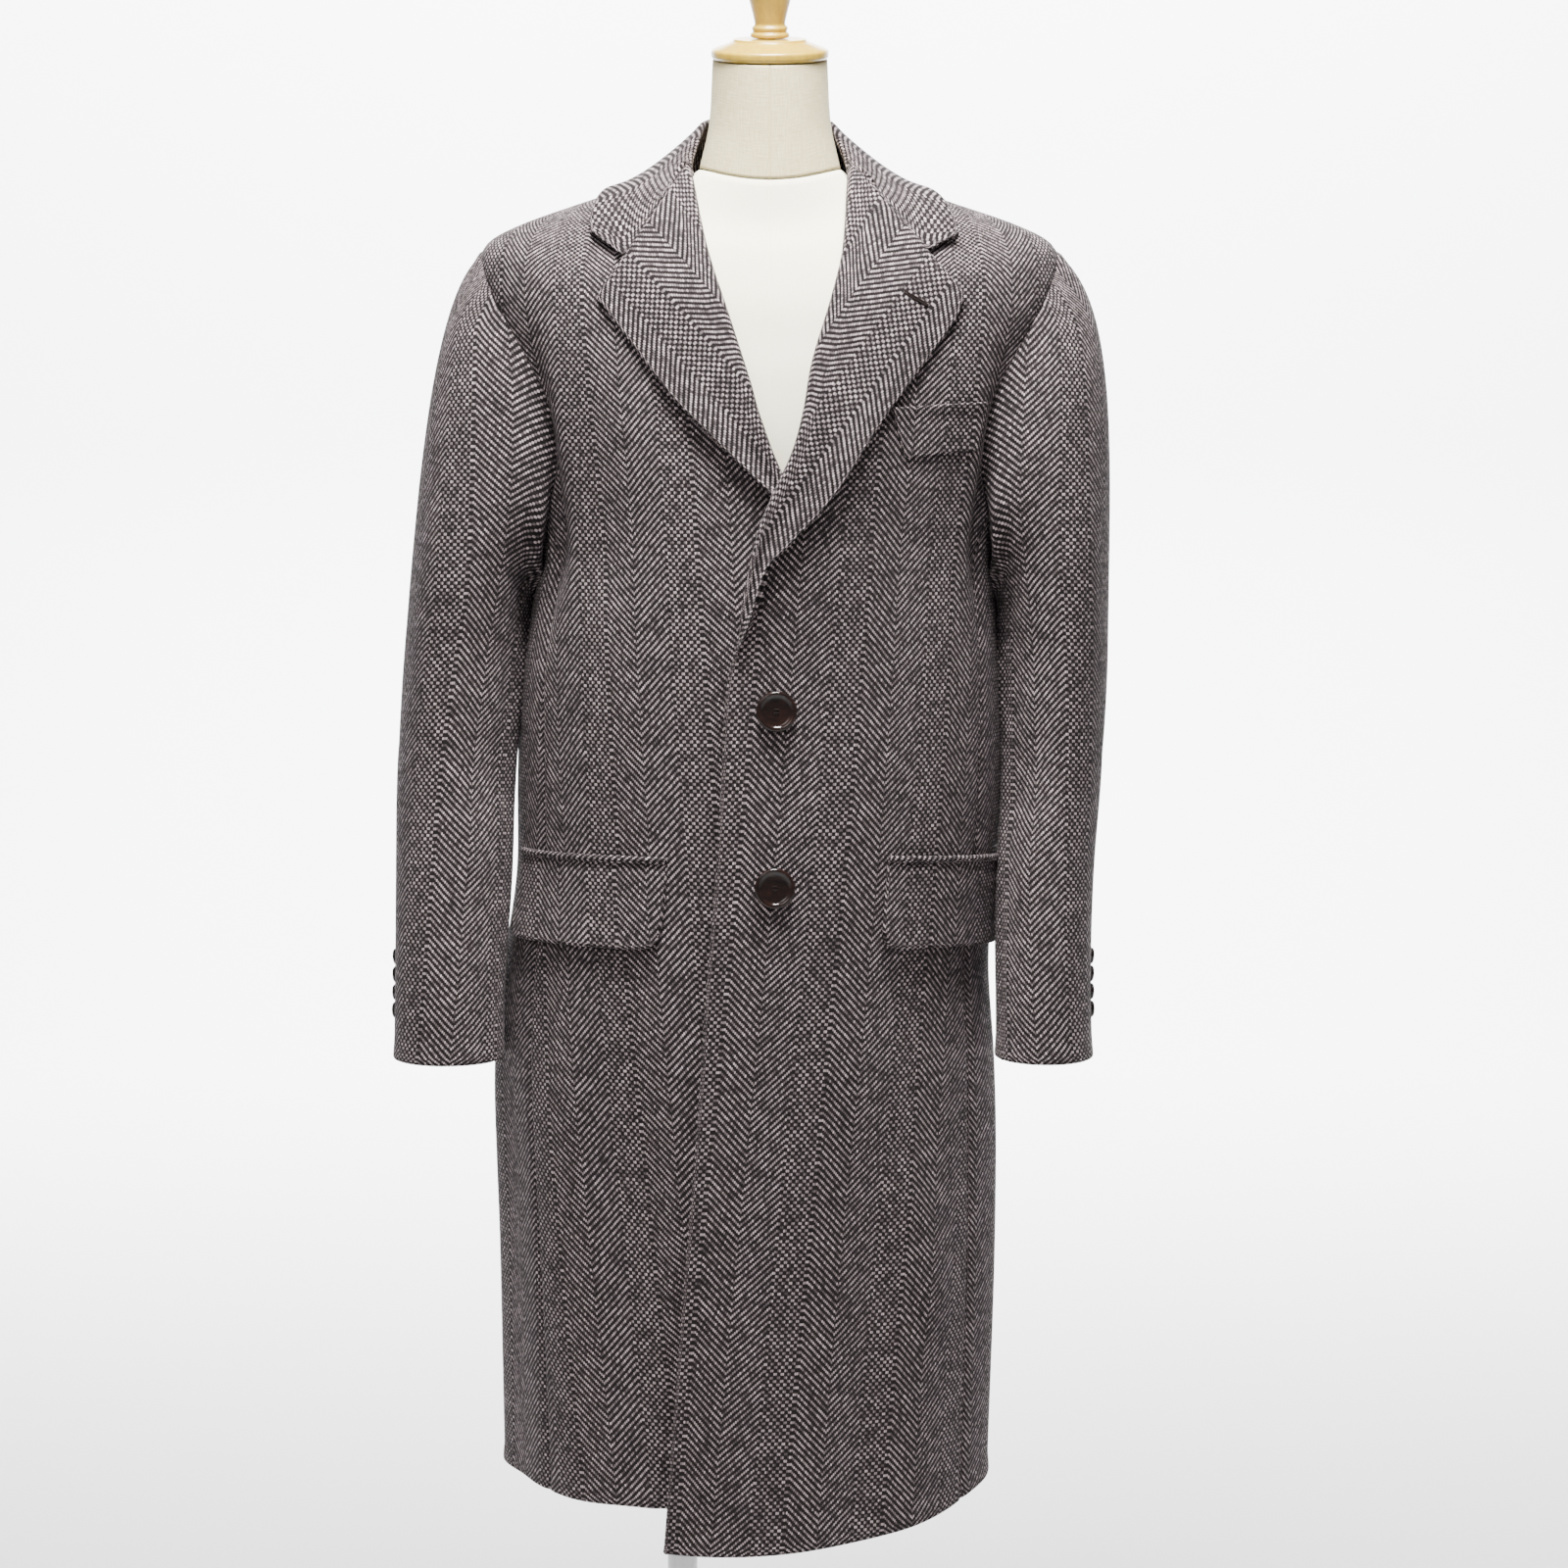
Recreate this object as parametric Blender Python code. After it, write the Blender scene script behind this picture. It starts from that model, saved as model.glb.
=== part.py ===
"""Single-breasted overcoat hung on a limbless dress form.

Metres, +Z up, floor at z = 0. The front faces -Y and the wearer's left side is +X.
"""
import math
from collections import namedtuple

import bmesh
import bpy
from mathutils import Matrix, Vector

for old in list(bpy.data.objects):
    bpy.data.objects.remove(old, do_unlink=True)

# Cloth and seams
CLOTH = 0.0026
SEAM_GAP = 0.0004
LAPEL_CLOTH = 0.0028
TRIM_GAP = 0.0006

# Coat body
HEM = 0.374
ARMPIT = 1.105
SHOULDER_TIP = 1.338
NECK_SEAM = 1.504
SEAM_ANGLE = math.radians(95)
SIDE_TOP = 1.135
LOW_STATIONS = (0.374, 0.46, 0.55, 0.63, 0.70, 0.755, 0.803, 0.836, 0.873, 0.92, 0.96, 1.00, 1.05)
FRONT_REACH = math.radians(35)
BACK_REACH = math.radians(23)
HEM_DROP = {1: 0.038, -1: 0.006}
DROP_FADE = 0.5
LAP_FADE = 0.06
LAP_MARGIN = 0.006
ROLL_MARGIN = 0.030
BREAK_Z = 1.12
VENT_TOP = 0.807
VENT_LAP = 0.20
VENT_LIFT = 0.0034
VENT_FADE = math.radians(9)

Ring = namedtuple("Ring", "station side_z front_z back_z centre_x half_width front_depth back_depth")
BODY_RINGS = (
    Ring(0.300, 0.300, 0.300, 0.300, -0.0060, 0.1890, 0.168, 0.150),
    Ring(0.374, 0.374, 0.374, 0.374, -0.0060, 0.1907, 0.168, 0.150),
    Ring(0.550, 0.550, 0.550, 0.550, -0.0048, 0.1950, 0.166, 0.148),
    Ring(0.700, 0.700, 0.700, 0.700, -0.0065, 0.1970, 0.163, 0.145),
    Ring(0.780, 0.780, 0.780, 0.780, -0.0055, 0.1925, 0.159, 0.141),
    Ring(0.850, 0.850, 0.850, 0.850, 0.0020, 0.1900, 0.156, 0.138),
    Ring(0.920, 0.920, 0.920, 0.920, 0.0050, 0.1910, 0.153, 0.135),
    Ring(1.000, 1.000, 1.000, 1.000, 0.0060, 0.1890, 0.150, 0.133),
    Ring(1.060, 1.060, 1.060, 1.060, 0.0080, 0.1825, 0.148, 0.131),
    Ring(1.105, 1.105, 1.105, 1.105, 0.0105, 0.1780, 0.146, 0.130),
    Ring(1.190, 1.190, 1.184, 1.190, 0.0125, 0.1950, 0.140, 0.126),
    Ring(1.262, 1.262, 1.235, 1.247, 0.0130, 0.2170, 0.130, 0.119),
    Ring(1.306, 1.306, 1.266, 1.284, 0.0130, 0.2285, 0.121, 0.111),
    Ring(1.338, 1.339, 1.288, 1.310, 0.0125, 0.2250, 0.114, 0.105),
    Ring(1.362, 1.3535, 1.302, 1.327, 0.0120, 0.2060, 0.108, 0.101),
    Ring(1.421, 1.374, 1.333, 1.360, 0.0110, 0.1500, 0.092, 0.092),
    Ring(1.504, 1.399, 1.372, 1.404, 0.0110, 0.0700, 0.064, 0.076),
    Ring(1.540, 1.410, 1.389, 1.423, 0.0110, 0.0360, 0.052, 0.069),
)

# Seams of the side panel, in degrees round from the centre front
SideSeam = namedtuple("SideSeam", "station front_angle back_angle")
SIDE_SEAMS = {
    1: (
        SideSeam(0.300, 63.0, 119.0),
        SideSeam(0.500, 63.0, 119.0),
        SideSeam(0.800, 63.0, 119.0),
        SideSeam(1.000, 65.5, 116.5),
        SideSeam(1.080, 68.5, 113.0),
        SideSeam(1.135, 71.6, 110.4),
    ),
    -1: (
        SideSeam(0.300, 53.0, 117.0),
        SideSeam(0.400, 54.0, 117.0),
        SideSeam(0.780, 60.0, 119.0),
        SideSeam(0.930, 62.5, 118.0),
        SideSeam(1.060, 67.0, 114.0),
        SideSeam(1.135, 71.6, 110.4),
    ),
}

# Front edge below the break and roll line above it, seen from the front
Mark = namedtuple("Mark", "z x")
LEFT_FRONT_LINE = (
    Mark(0.300, -0.0725),
    Mark(0.333, -0.0695),
    Mark(0.554, -0.0510),
    Mark(0.855, -0.0222),
    Mark(1.004, -0.0102),
    Mark(1.078, -0.0020),
    Mark(1.123, 0.0080),
    Mark(1.174, 0.0280),
    Mark(1.241, 0.0508),
    Mark(1.293, 0.0658),
    Mark(1.331, 0.0735),
    Mark(1.394, 0.0778),
)
RIGHT_FRONT_LINE = (
    Mark(0.300, 0.1100),
    Mark(0.370, 0.1050),
    Mark(0.700, 0.0750),
    Mark(0.985, 0.0520),
    Mark(1.090, 0.0460),
    Mark(1.135, 0.0335),
    Mark(1.174, 0.0178),
    Mark(1.226, -0.0028),
    Mark(1.278, -0.0215),
    Mark(1.331, -0.0390),
    Mark(1.392, -0.0512),
)
LEFT_LAPEL_EDGE = (
    Mark(1.046, 0.0012),
    Mark(1.080, 0.0085),
    Mark(1.095, 0.0140),
    Mark(1.107, 0.0240),
    Mark(1.143, 0.0544),
    Mark(1.196, 0.0900),
    Mark(1.245, 0.1280),
    Mark(1.282, 0.1545),
    Mark(1.301, 0.1615),
)
RIGHT_LAPEL_EDGE = (
    Mark(1.128, 0.0300),
    Mark(1.149, 0.0130),
    Mark(1.182, -0.0205),
    Mark(1.219, -0.0576),
    Mark(1.267, -0.0951),
    Mark(1.298, -0.1187),
)
Lift = namedtuple("Lift", "z out")
LEFT_LAP_LIFT = (
    Lift(0.30, 0.0040),
    Lift(1.00, 0.0040),
    Lift(1.08, 0.0080),
    Lift(1.14, 0.0115),
    Lift(1.20, 0.0100),
    Lift(1.28, 0.0030),
    Lift(1.34, 0.0000),
    Lift(1.42, 0.0000),
)

# Lapels and collar
LAPEL_LOW_Z = {1: 1.050, -1: 1.132}
GORGE_TOP_Z = {1: 1.3955, -1: 1.3955}
ROLL_HEIGHT = 0.0068
ROLL_GAP = 0.0019
GORGE_GAP = 0.0011
LAPEL_EDGE_HEIGHT = 0.0030
CURL_STEPS = 5
FLAT_STEPS = 6
NOTCH_SHARE = {1: 0.655, -1: 0.680}
COLLAR_POINT = {1: Mark(1.343, 0.156), -1: Mark(1.344, -0.122)}
Fold = namedtuple("Fold", "turn inward up leaf_station")
COLLAR_FOLDS = (
    Fold(0.00, 0.010, 0.045, 1.446),
    Fold(0.40, 0.014, 0.044, 1.450),
    Fold(0.75, 0.0165, 0.038, 1.461),
    Fold(0.88, 0.010, 0.024, 1.438),
    Fold(1.00, 0.004, 0.010, 1.400),
)
COLLAR_END_BLEND = 0.66
COLLAR_TURN = math.radians(115)
STAND_GAP = 0.0030
LEAF_TURN = 0.62
LEAF_SAG = 0.004
FOLD_ROUND = 0.0048
LEAF_OUT = 0.0042

# Sleeves
SLEEVE_TOP_RING = 1.06
CUFF = 0.708
ARMHOLE_INSET = 0.978
HEAD_OVER = {1: 0.056, -1: 0.040}
HEAD_UNDER = {1: 0.020, -1: 0.018}
HEAD_DROP = 0.45
FRONT_SEAM = math.radians(152)
BACK_SEAM_TOP = math.radians(-70)
BACK_SEAM_CUFF = math.radians(-28)
SleeveRing = namedtuple("SleeveRing", "z outer_x inner_x middle_y half_depth")
SLEEVE_RINGS = {
    1: (
        SleeveRing(0.690, 0.2660, 0.1900, -0.064, 0.049),
        SleeveRing(0.708, 0.2660, 0.1900, -0.060, 0.049),
        SleeveRing(0.770, 0.2655, 0.1920, -0.046, 0.053),
        SleeveRing(0.850, 0.2690, 0.1965, -0.024, 0.060),
        SleeveRing(0.920, 0.2755, 0.2000, -0.006, 0.066),
        SleeveRing(1.000, 0.2806, 0.1990, 0.004, 0.072),
        SleeveRing(1.060, 0.2815, 0.1945, 0.005, 0.075),
        SleeveRing(1.080, 0.2815, 0.1920, 0.005, 0.076),
    ),
    -1: (
        SleeveRing(0.690, -0.2815, -0.1955, -0.070, 0.049),
        SleeveRing(0.708, -0.2815, -0.1955, -0.066, 0.049),
        SleeveRing(0.770, -0.2815, -0.1950, -0.052, 0.053),
        SleeveRing(0.840, -0.2825, -0.1940, -0.030, 0.059),
        SleeveRing(0.920, -0.2830, -0.1920, -0.008, 0.066),
        SleeveRing(1.000, -0.2790, -0.1860, 0.004, 0.072),
        SleeveRing(1.060, -0.2740, -0.1780, 0.005, 0.075),
        SleeveRing(1.080, -0.2720, -0.1750, 0.005, 0.076),
    ),
}

# Pockets
FLAP_TOP = 0.868
FLAP_BOTTOM = 0.803
FLAP_CLOTH = 0.0034
FLAP_CORNER = 0.012
JET_HEIGHT = 0.0048
JET_CLOTH = 0.0022
FLAP_SPAN = {1: (math.radians(32.5), math.radians(83)), -1: (math.radians(20.7), math.radians(72))}
WELT_TOP = (Mark(1.2135, 0.104), Mark(1.2195, 0.177))
WELT_BOTTOM = (Mark(1.1760, 0.115), Mark(1.1820, 0.170))
WELT_CLOTH = 0.0030

# Buttons
BUTTON_RADIUS = 0.0152
BUTTON_HEIGHT = 0.0042
FRONT_BUTTONS = {"upper": Mark(0.985, 0.0180), "lower": Mark(0.851, 0.0166)}
CUFF_BUTTON_RADIUS = 0.0066
CUFF_BUTTON_HEIGHT = 0.0032
CUFF_BUTTON_FIRST = 0.742
CUFF_BUTTON_PITCH = 0.0137
CUFF_BUTTONS = 4
CUFF_BUTTON_TURN = math.radians(-17)
BUTTON_SHANK = 0.0006

# Dress form
FORM_RINGS = (
    Ring(0.700, 0.700, 0.700, 0.700, -0.0040, 0.1300, 0.092, 0.088),
    Ring(0.712, 0.712, 0.712, 0.712, -0.0040, 0.1420, 0.100, 0.096),
    Ring(0.760, 0.760, 0.760, 0.760, -0.0030, 0.1530, 0.110, 0.108),
    Ring(0.850, 0.850, 0.850, 0.850, 0.0000, 0.1520, 0.111, 0.110),
    Ring(0.980, 0.980, 0.980, 0.980, 0.0060, 0.1250, 0.096, 0.090),
    Ring(1.100, 1.100, 1.100, 1.100, 0.0110, 0.1380, 0.112, 0.098),
    Ring(1.180, 1.180, 1.180, 1.180, 0.0130, 0.1480, 0.116, 0.104),
    Ring(1.250, 1.250, 1.235, 1.240, 0.0130, 0.1680, 0.110, 0.100),
    Ring(1.295, 1.295, 1.268, 1.278, 0.0130, 0.1840, 0.102, 0.095),
    Ring(1.325, 1.325, 1.290, 1.302, 0.0130, 0.1820, 0.096, 0.090),
    Ring(1.345, 1.343, 1.305, 1.322, 0.0130, 0.1680, 0.090, 0.086),
    Ring(1.400, 1.363, 1.333, 1.354, 0.0120, 0.1270, 0.076, 0.078),
    Ring(1.450, 1.380, 1.358, 1.380, 0.0120, 0.0840, 0.061, 0.066),
    Ring(1.482, 1.401, 1.390, 1.406, 0.0130, 0.0560, 0.053, 0.052),
)
NECK_RINGS = (
    Ring(0.00, 1.4014, 1.3904, 1.4064, 0.0130, 0.0555, 0.0525, 0.0515),
    Ring(0.35, 1.4350, 1.4250, 1.4400, 0.0130, 0.0480, 0.0505, 0.0415),
    Ring(1.00, 1.4860, 1.4770, 1.4927, 0.0130, 0.0450, 0.0510, 0.0380),
)
FORM_SIDES = 24
CAP_CENTRE = Vector((0.013, -0.0065, 1.4858))
CAP_TILT = math.radians(10)
Turn = namedtuple("Turn", "radius height")
CAP_PROFILE = (
    Turn(0.0440, 0.0000),
    Turn(0.0460, 0.0020),
    Turn(0.0460, 0.0070),
    Turn(0.0440, 0.0085),
    Turn(0.0290, 0.0140),
    Turn(0.0285, 0.0160),
)
FINIAL_PROFILE = (
    Turn(0.0130, 0.0164),
    Turn(0.0153, 0.0180),
    Turn(0.0153, 0.0200),
    Turn(0.0130, 0.0216),
    Turn(0.0140, 0.0232),
    Turn(0.0140, 0.0250),
    Turn(0.0120, 0.0266),
    Turn(0.0120, 0.0290),
    Turn(0.0165, 0.0470),
    Turn(0.0205, 0.0650),
    Turn(0.0220, 0.0790),
    Turn(0.0205, 0.0890),
    Turn(0.0150, 0.0970),
    Turn(0.0060, 0.1010),
)
POLE_X = -0.058
POLE_RADIUS = 0.012
BASE_PROFILE = (
    Turn(0.190, 0.0000),
    Turn(0.190, 0.0055),
    Turn(0.187, 0.0080),
)
ROUND_SIDES = 24
CUFF_BUTTON_SIDES = 12
BASE_SIDES = 48
SHARP_ANGLE = math.radians(40)

Finish = namedtuple("Finish", "name colour roughness metallic")
COAT_CLOTH = Finish("herringbone_cloth", (0.14, 0.12, 0.12), 0.95, 0.0)
BUTTON_HORN = Finish("dark_button", (0.018, 0.012, 0.010), 0.22, 0.0)
FORM_CLOTH = Finish("form_canvas", (0.86, 0.84, 0.77), 0.85, 0.0)
NECK_LINEN = Finish("neck_linen", (0.72, 0.69, 0.62), 0.90, 0.0)
WOOD = Finish("lacquered_wood", (0.78, 0.58, 0.33), 0.35, 0.0)
METAL = Finish("grey_metal", (0.45, 0.45, 0.46), 0.35, 1.0)


def smooth(stations, values, at):
    """Return the value of a smooth curve through a table at one station."""
    if at <= stations[0]:
        slope = (values[1] - values[0]) / (stations[1] - stations[0])
        return values[0] + slope * (at - stations[0])
    if at >= stations[-1]:
        slope = (values[-1] - values[-2]) / (stations[-1] - stations[-2])
        return values[-1] + slope * (at - stations[-1])
    low = max(i for i in range(len(stations) - 1) if stations[i] <= at)
    span = stations[low + 1] - stations[low]

    def slope_at(i):
        before = max(i - 1, 0)
        after = min(i + 1, len(stations) - 1)
        return (values[after] - values[before]) / (stations[after] - stations[before])

    t = (at - stations[low]) / span
    keep = 2 * t ** 3 - 3 * t ** 2 + 1
    rise = t ** 3 - 2 * t ** 2 + t
    land = t ** 3 - t ** 2
    return (
        keep * values[low]
        + (1 - keep) * values[low + 1]
        + span * (rise * slope_at(low) + land * slope_at(low + 1))
    )


def ease(low, high, value):
    """Return 0 below low, 1 above high and a soft step between."""
    t = min(max((value - low) / (high - low), 0.0), 1.0)
    return t * t * (3 - 2 * t)


def spread(low, high, count):
    """Return evenly spaced values with both ends."""
    return [low + (high - low) * i / (count - 1) for i in range(count)]


def line_x(marks, z):
    """Return the x of a line drawn on the front at one height."""
    return smooth([mark.z for mark in marks], [mark.x for mark in marks], z)


class RingSkin:
    """Smooth skin through a table of rings; angle 0 is the centre front, +90 degrees the left side."""

    def __init__(self, rings, top_power=2.0):
        self.top_power = top_power
        self.stations = [ring.station for ring in rings]
        self.columns = {name: [getattr(ring, name) for ring in rings] for name in Ring._fields}

    def size(self, name, station):
        """Return one column of the table at a station."""
        return smooth(self.stations, self.columns[name], station)

    def power(self, station):
        """Return how sharply the height turns from side to front; 1 makes a flat tilted ring."""
        share = (station - self.stations[0]) / (self.stations[-1] - self.stations[0])
        return 2 + (self.top_power - 2) * share

    def point(self, angle, station):
        """Return the skin point at an angle round the figure and a station up it."""
        sine = math.sin(angle)
        cosine = math.cos(angle)
        facing = "front" if cosine > 0 else "back"
        side_z = self.size("side_z", station)
        return Vector((
            self.size("centre_x", station) + self.size("half_width", station) * sine,
            -self.size(facing + "_depth", station) * cosine,
            side_z + (self.size(facing + "_z", station) - side_z) * abs(cosine) ** self.power(station),
        ))

    def normal(self, angle, station, step=0.001):
        """Return the outward direction at a point of the skin."""
        around = self.point(angle + step, station) - self.point(angle - step, station)
        up = self.point(angle, station + step) - self.point(angle, station - step)
        return around.cross(up).normalized()

    def out(self, angle, station, distance):
        """Return a point of the skin moved out."""
        return self.point(angle, station) + self.normal(angle, station) * distance

    def seen_at(self, x, z):
        """Return the angle and station of the front point seen at x and z."""
        low = self.stations[0]
        high = self.stations[-1]
        for _ in range(48):
            middle = (low + high) / 2
            if self.point(self.angle_at(x, middle), middle).z < z:
                low = middle
            else:
                high = middle
        return self.angle_at(x, low), low

    def angle_at(self, x, station):
        """Return the front angle at which a ring reaches x."""
        ratio = (x - self.size("centre_x", station)) / self.size("half_width", station)
        return math.asin(min(max(ratio, -0.999), 0.999))


def lie_out(skin, point, angle, station, least):
    """Return a point pushed out until it is clear of a skin by the least distance."""
    step = 0.0005
    for _ in range(12):
        here = skin.point(angle, station)
        around = (skin.point(angle + step, station) - here) / step
        up = (skin.point(angle, station + step) - here) / step
        miss = point - here
        a, b, c = around.dot(around), around.dot(up), up.dot(up)
        d, e = around.dot(miss), up.dot(miss)
        scale = a * c - b * b
        angle += min(max((d * c - e * b) / scale, -0.2), 0.2)
        station += min(max((e * a - d * b) / scale, -0.02), 0.02)
    normal = skin.normal(angle, station)
    away = (point - skin.point(angle, station)).dot(normal)
    if away >= least:
        return point
    return point + normal * (least - away)


BODY = RingSkin(BODY_RINGS)
FORM = RingSkin(FORM_RINGS)
NECK = RingSkin(NECK_RINGS, 1.0)


def material(name, finish):
    """Return a piece's own Principled material."""
    made = bpy.data.materials.new(name + "_" + finish.name)
    made.use_nodes = True
    shader = made.node_tree.nodes["Principled BSDF"]
    shader.inputs["Base Color"].default_value = (*finish.colour, 1.0)
    shader.inputs["Roughness"].default_value = finish.roughness
    shader.inputs["Metallic"].default_value = finish.metallic
    return made


def finish_solid(name, shape, finish):
    """Turn a filled bmesh into a named object with outward faces."""
    bmesh.ops.recalc_face_normals(shape, faces=shape.faces)
    mesh = bpy.data.meshes.new(name)
    shape.to_mesh(mesh)
    shape.free()
    mesh.materials.append(material(name, finish))
    mesh.shade_smooth()
    mesh.set_sharp_from_angle(angle=SHARP_ANGLE)
    made = bpy.data.objects.new(name, mesh)
    bpy.context.scene.collection.objects.link(made)
    return made


def wall(name, outer, inner, finish):
    """Build a closed wall between two grids of points with the same rows and columns."""
    shape = bmesh.new()
    rows = len(outer)
    columns = len(outer[0])
    top = [[shape.verts.new(point) for point in row] for row in outer]
    under = [[shape.verts.new(point) for point in row] for row in inner]
    for j in range(rows - 1):
        for i in range(columns - 1):
            shape.faces.new((top[j][i], top[j][i + 1], top[j + 1][i + 1], top[j + 1][i]))
            shape.faces.new((under[j][i], under[j + 1][i], under[j + 1][i + 1], under[j][i + 1]))
    for j in range(rows - 1):
        for i in (0, columns - 1):
            shape.faces.new((top[j][i], top[j + 1][i], under[j + 1][i], under[j][i]))
    for i in range(columns - 1):
        for j in (0, rows - 1):
            shape.faces.new((top[j][i], under[j][i], under[j][i + 1], top[j][i + 1]))
    bmesh.ops.triangulate(shape, faces=shape.faces[:])
    return finish_solid(name, shape, finish)


def sheet(name, middle, thickness, finish):
    """Build a wall on both sides of a grid of middle points."""
    rows = len(middle)
    columns = len(middle[0])
    outer = []
    inner = []
    for j in range(rows):
        outer_row = []
        inner_row = []
        for i in range(columns):
            across = middle[j][min(i + 1, columns - 1)] - middle[j][max(i - 1, 0)]
            along = middle[min(j + 1, rows - 1)][i] - middle[max(j - 1, 0)][i]
            normal = across.cross(along).normalized()
            outer_row.append(middle[j][i] + normal * thickness / 2)
            inner_row.append(middle[j][i] - normal * thickness / 2)
        outer.append(outer_row)
        inner.append(inner_row)
    return wall(name, outer, inner, finish)


def loft(name, rings, finish):
    """Build a solid through closed rings of points and close both ends."""
    shape = bmesh.new()
    loops = [[shape.verts.new(point) for point in ring] for ring in rings]
    sides = len(loops[0])
    for low, high in zip(loops, loops[1:]):
        for i in range(sides):
            k = (i + 1) % sides
            shape.faces.new((low[i], low[k], high[k], high[i]))
    bmesh.ops.triangulate(shape, faces=shape.faces[:])
    for loop in (loops[0], loops[-1]):
        flat = max(v.co.z for v in loop) - min(v.co.z for v in loop) < 1e-6
        if flat:
            shape.faces.new(loop)
        else:
            centre = shape.verts.new(sum((v.co for v in loop), Vector()) / sides)
            for i in range(sides):
                shape.faces.new((loop[i], loop[(i + 1) % sides], centre))
    return finish_solid(name, shape, finish)


def turned(name, profile, sides, place, finish):
    """Turn a profile about +Z, close its flat ends and put it in place."""
    shape = bmesh.new()
    loops = []
    for turn in profile:
        loop = []
        for i in range(sides):
            angle = 2 * math.pi * i / sides
            point = Vector((turn.radius * math.cos(angle), turn.radius * math.sin(angle), turn.height))
            loop.append(shape.verts.new(place @ point))
        loops.append(loop)
    for low, high in zip(loops, loops[1:]):
        for i in range(sides):
            k = (i + 1) % sides
            shape.faces.new((low[i], low[k], high[k], high[i]))
    bmesh.ops.triangulate(shape, faces=shape.faces[:])
    shape.faces.new(loops[0])
    shape.faces.new(loops[-1])
    return finish_solid(name, shape, finish)


def facing(direction, at):
    """Return the placement that turns +Z to a direction at a point."""
    turn = Vector((0, 0, 1)).rotation_difference(direction).to_matrix().to_4x4()
    return Matrix.Translation(at) @ turn


def front_line(side):
    """Return the edge and roll line of one front."""
    return LEFT_FRONT_LINE if side > 0 else RIGHT_FRONT_LINE


def front_lift(side, point):
    """Return how far the front stands out where it laps over the other front."""
    if side < 0:
        return 0.0
    amount = smooth([row.z for row in LEFT_LAP_LIFT], [row.out for row in LEFT_LAP_LIFT], point.z)
    start = line_x(RIGHT_FRONT_LINE, point.z) + LAP_MARGIN
    if point.z > BREAK_Z:
        start = max(start, line_x(LEFT_FRONT_LINE, point.z) + ROLL_MARGIN)
    return max(amount, 0.0) * (1 - ease(start, start + LAP_FADE, point.x))


def front_out(side, angle, station, distance):
    """Return a point on a front moved out from its face."""
    point = BODY.point(angle, station)
    return BODY.out(angle, station, front_lift(side, point) + distance)


def closing_angle(side, station):
    """Return the angle at which a front ends at its edge or roll line."""
    marks = front_line(side)
    low = math.radians(-45)
    high = math.radians(85)
    for _ in range(48):
        middle = (low + high) / 2
        point = BODY.point(side * middle, station)
        if side * (point.x - line_x(marks, point.z)) < 0:
            low = middle
        else:
            high = middle
    return low


def armhole_reach(station):
    """Return how wide the armhole is at a station, as a share of its full reach."""
    middle = (ARMPIT + SHOULDER_TIP) / 2
    half = (SHOULDER_TIP - ARMPIT) / 2
    return math.sqrt(max(1 - ((station - middle) / half) ** 2, 0.0))


def armhole_bottom(angle):
    """Return the station of the armhole's lower edge at an angle."""
    middle = (ARMPIT + SHOULDER_TIP) / 2
    half = (SHOULDER_TIP - ARMPIT) / 2
    reach = FRONT_REACH if angle < SEAM_ANGLE else BACK_REACH
    return middle - half * math.sqrt(1 - ((SEAM_ANGLE - angle) / reach) ** 2)


def side_seam(side, station, column):
    """Return the angle of a side panel's front or back seam at a station."""
    rows = SIDE_SEAMS[side]
    return math.radians(smooth([row.station for row in rows], [getattr(row, column) for row in rows], station))


def half_gap(station):
    """Return the angle that half a seam gap takes up at a station."""
    return SEAM_GAP / (2 * BODY.size("half_width", station))


def panel_edge(side, station, column):
    """Return the angle of a front's or back's outer edge: side seam, armhole or shoulder seam."""
    front = column == "front_angle"
    inward = -1 if front else 1
    if station <= SIDE_TOP:
        return side_seam(side, station, column) + inward * half_gap(station)
    reach = FRONT_REACH if front else BACK_REACH
    return SEAM_ANGLE + inward * (half_gap(station) + reach * armhole_reach(station))


def body_stations(arm_rows, top_rows):
    """Return the row stations from hem to neck, close together at the top of the armhole."""
    middle = (ARMPIT + SHOULDER_TIP) / 2
    half = (SHOULDER_TIP - ARMPIT) / 2
    first = math.acos((SIDE_TOP - middle) / half)
    arm = [middle + half * math.cos(first * (1 - i / (arm_rows + 1))) for i in range(1, arm_rows + 1)]
    under_arm = spread(LOW_STATIONS[-1], SIDE_TOP, 3)[1:]
    return list(LOW_STATIONS) + under_arm + arm + spread(SHOULDER_TIP, NECK_SEAM, top_rows)


def hem_drop(side, angle, station):
    """Return how far the cloth hangs down towards the front edge."""
    drop = HEM_DROP[side] * (1 - ease(HEM, HEM + DROP_FADE, station))
    low = closing_angle(side, station - drop)
    share = min((angle - low) / (SEAM_ANGLE - low), 1.0)
    return drop * math.cos(share * math.pi / 2)


def front_panel(name, side):
    """Build one front from its edge and roll line to the side seam, armhole and shoulder."""
    outer = []
    inner = []
    for station in body_stations(8, 5):
        low = closing_angle(side, station - HEM_DROP[side] * (1 - ease(HEM, HEM + DROP_FADE, station)))
        high = panel_edge(side, station, "front_angle")
        outer_row = []
        inner_row = []
        for angle in spread(low, high, 13):
            at = station - hem_drop(side, angle, station)
            outer_row.append(front_out(side, side * angle, at, 0.0))
            inner_row.append(front_out(side, side * angle, at, -CLOTH))
        outer.append(outer_row)
        inner.append(inner_row)
    wall(name, outer, inner, COAT_CLOTH)


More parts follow.
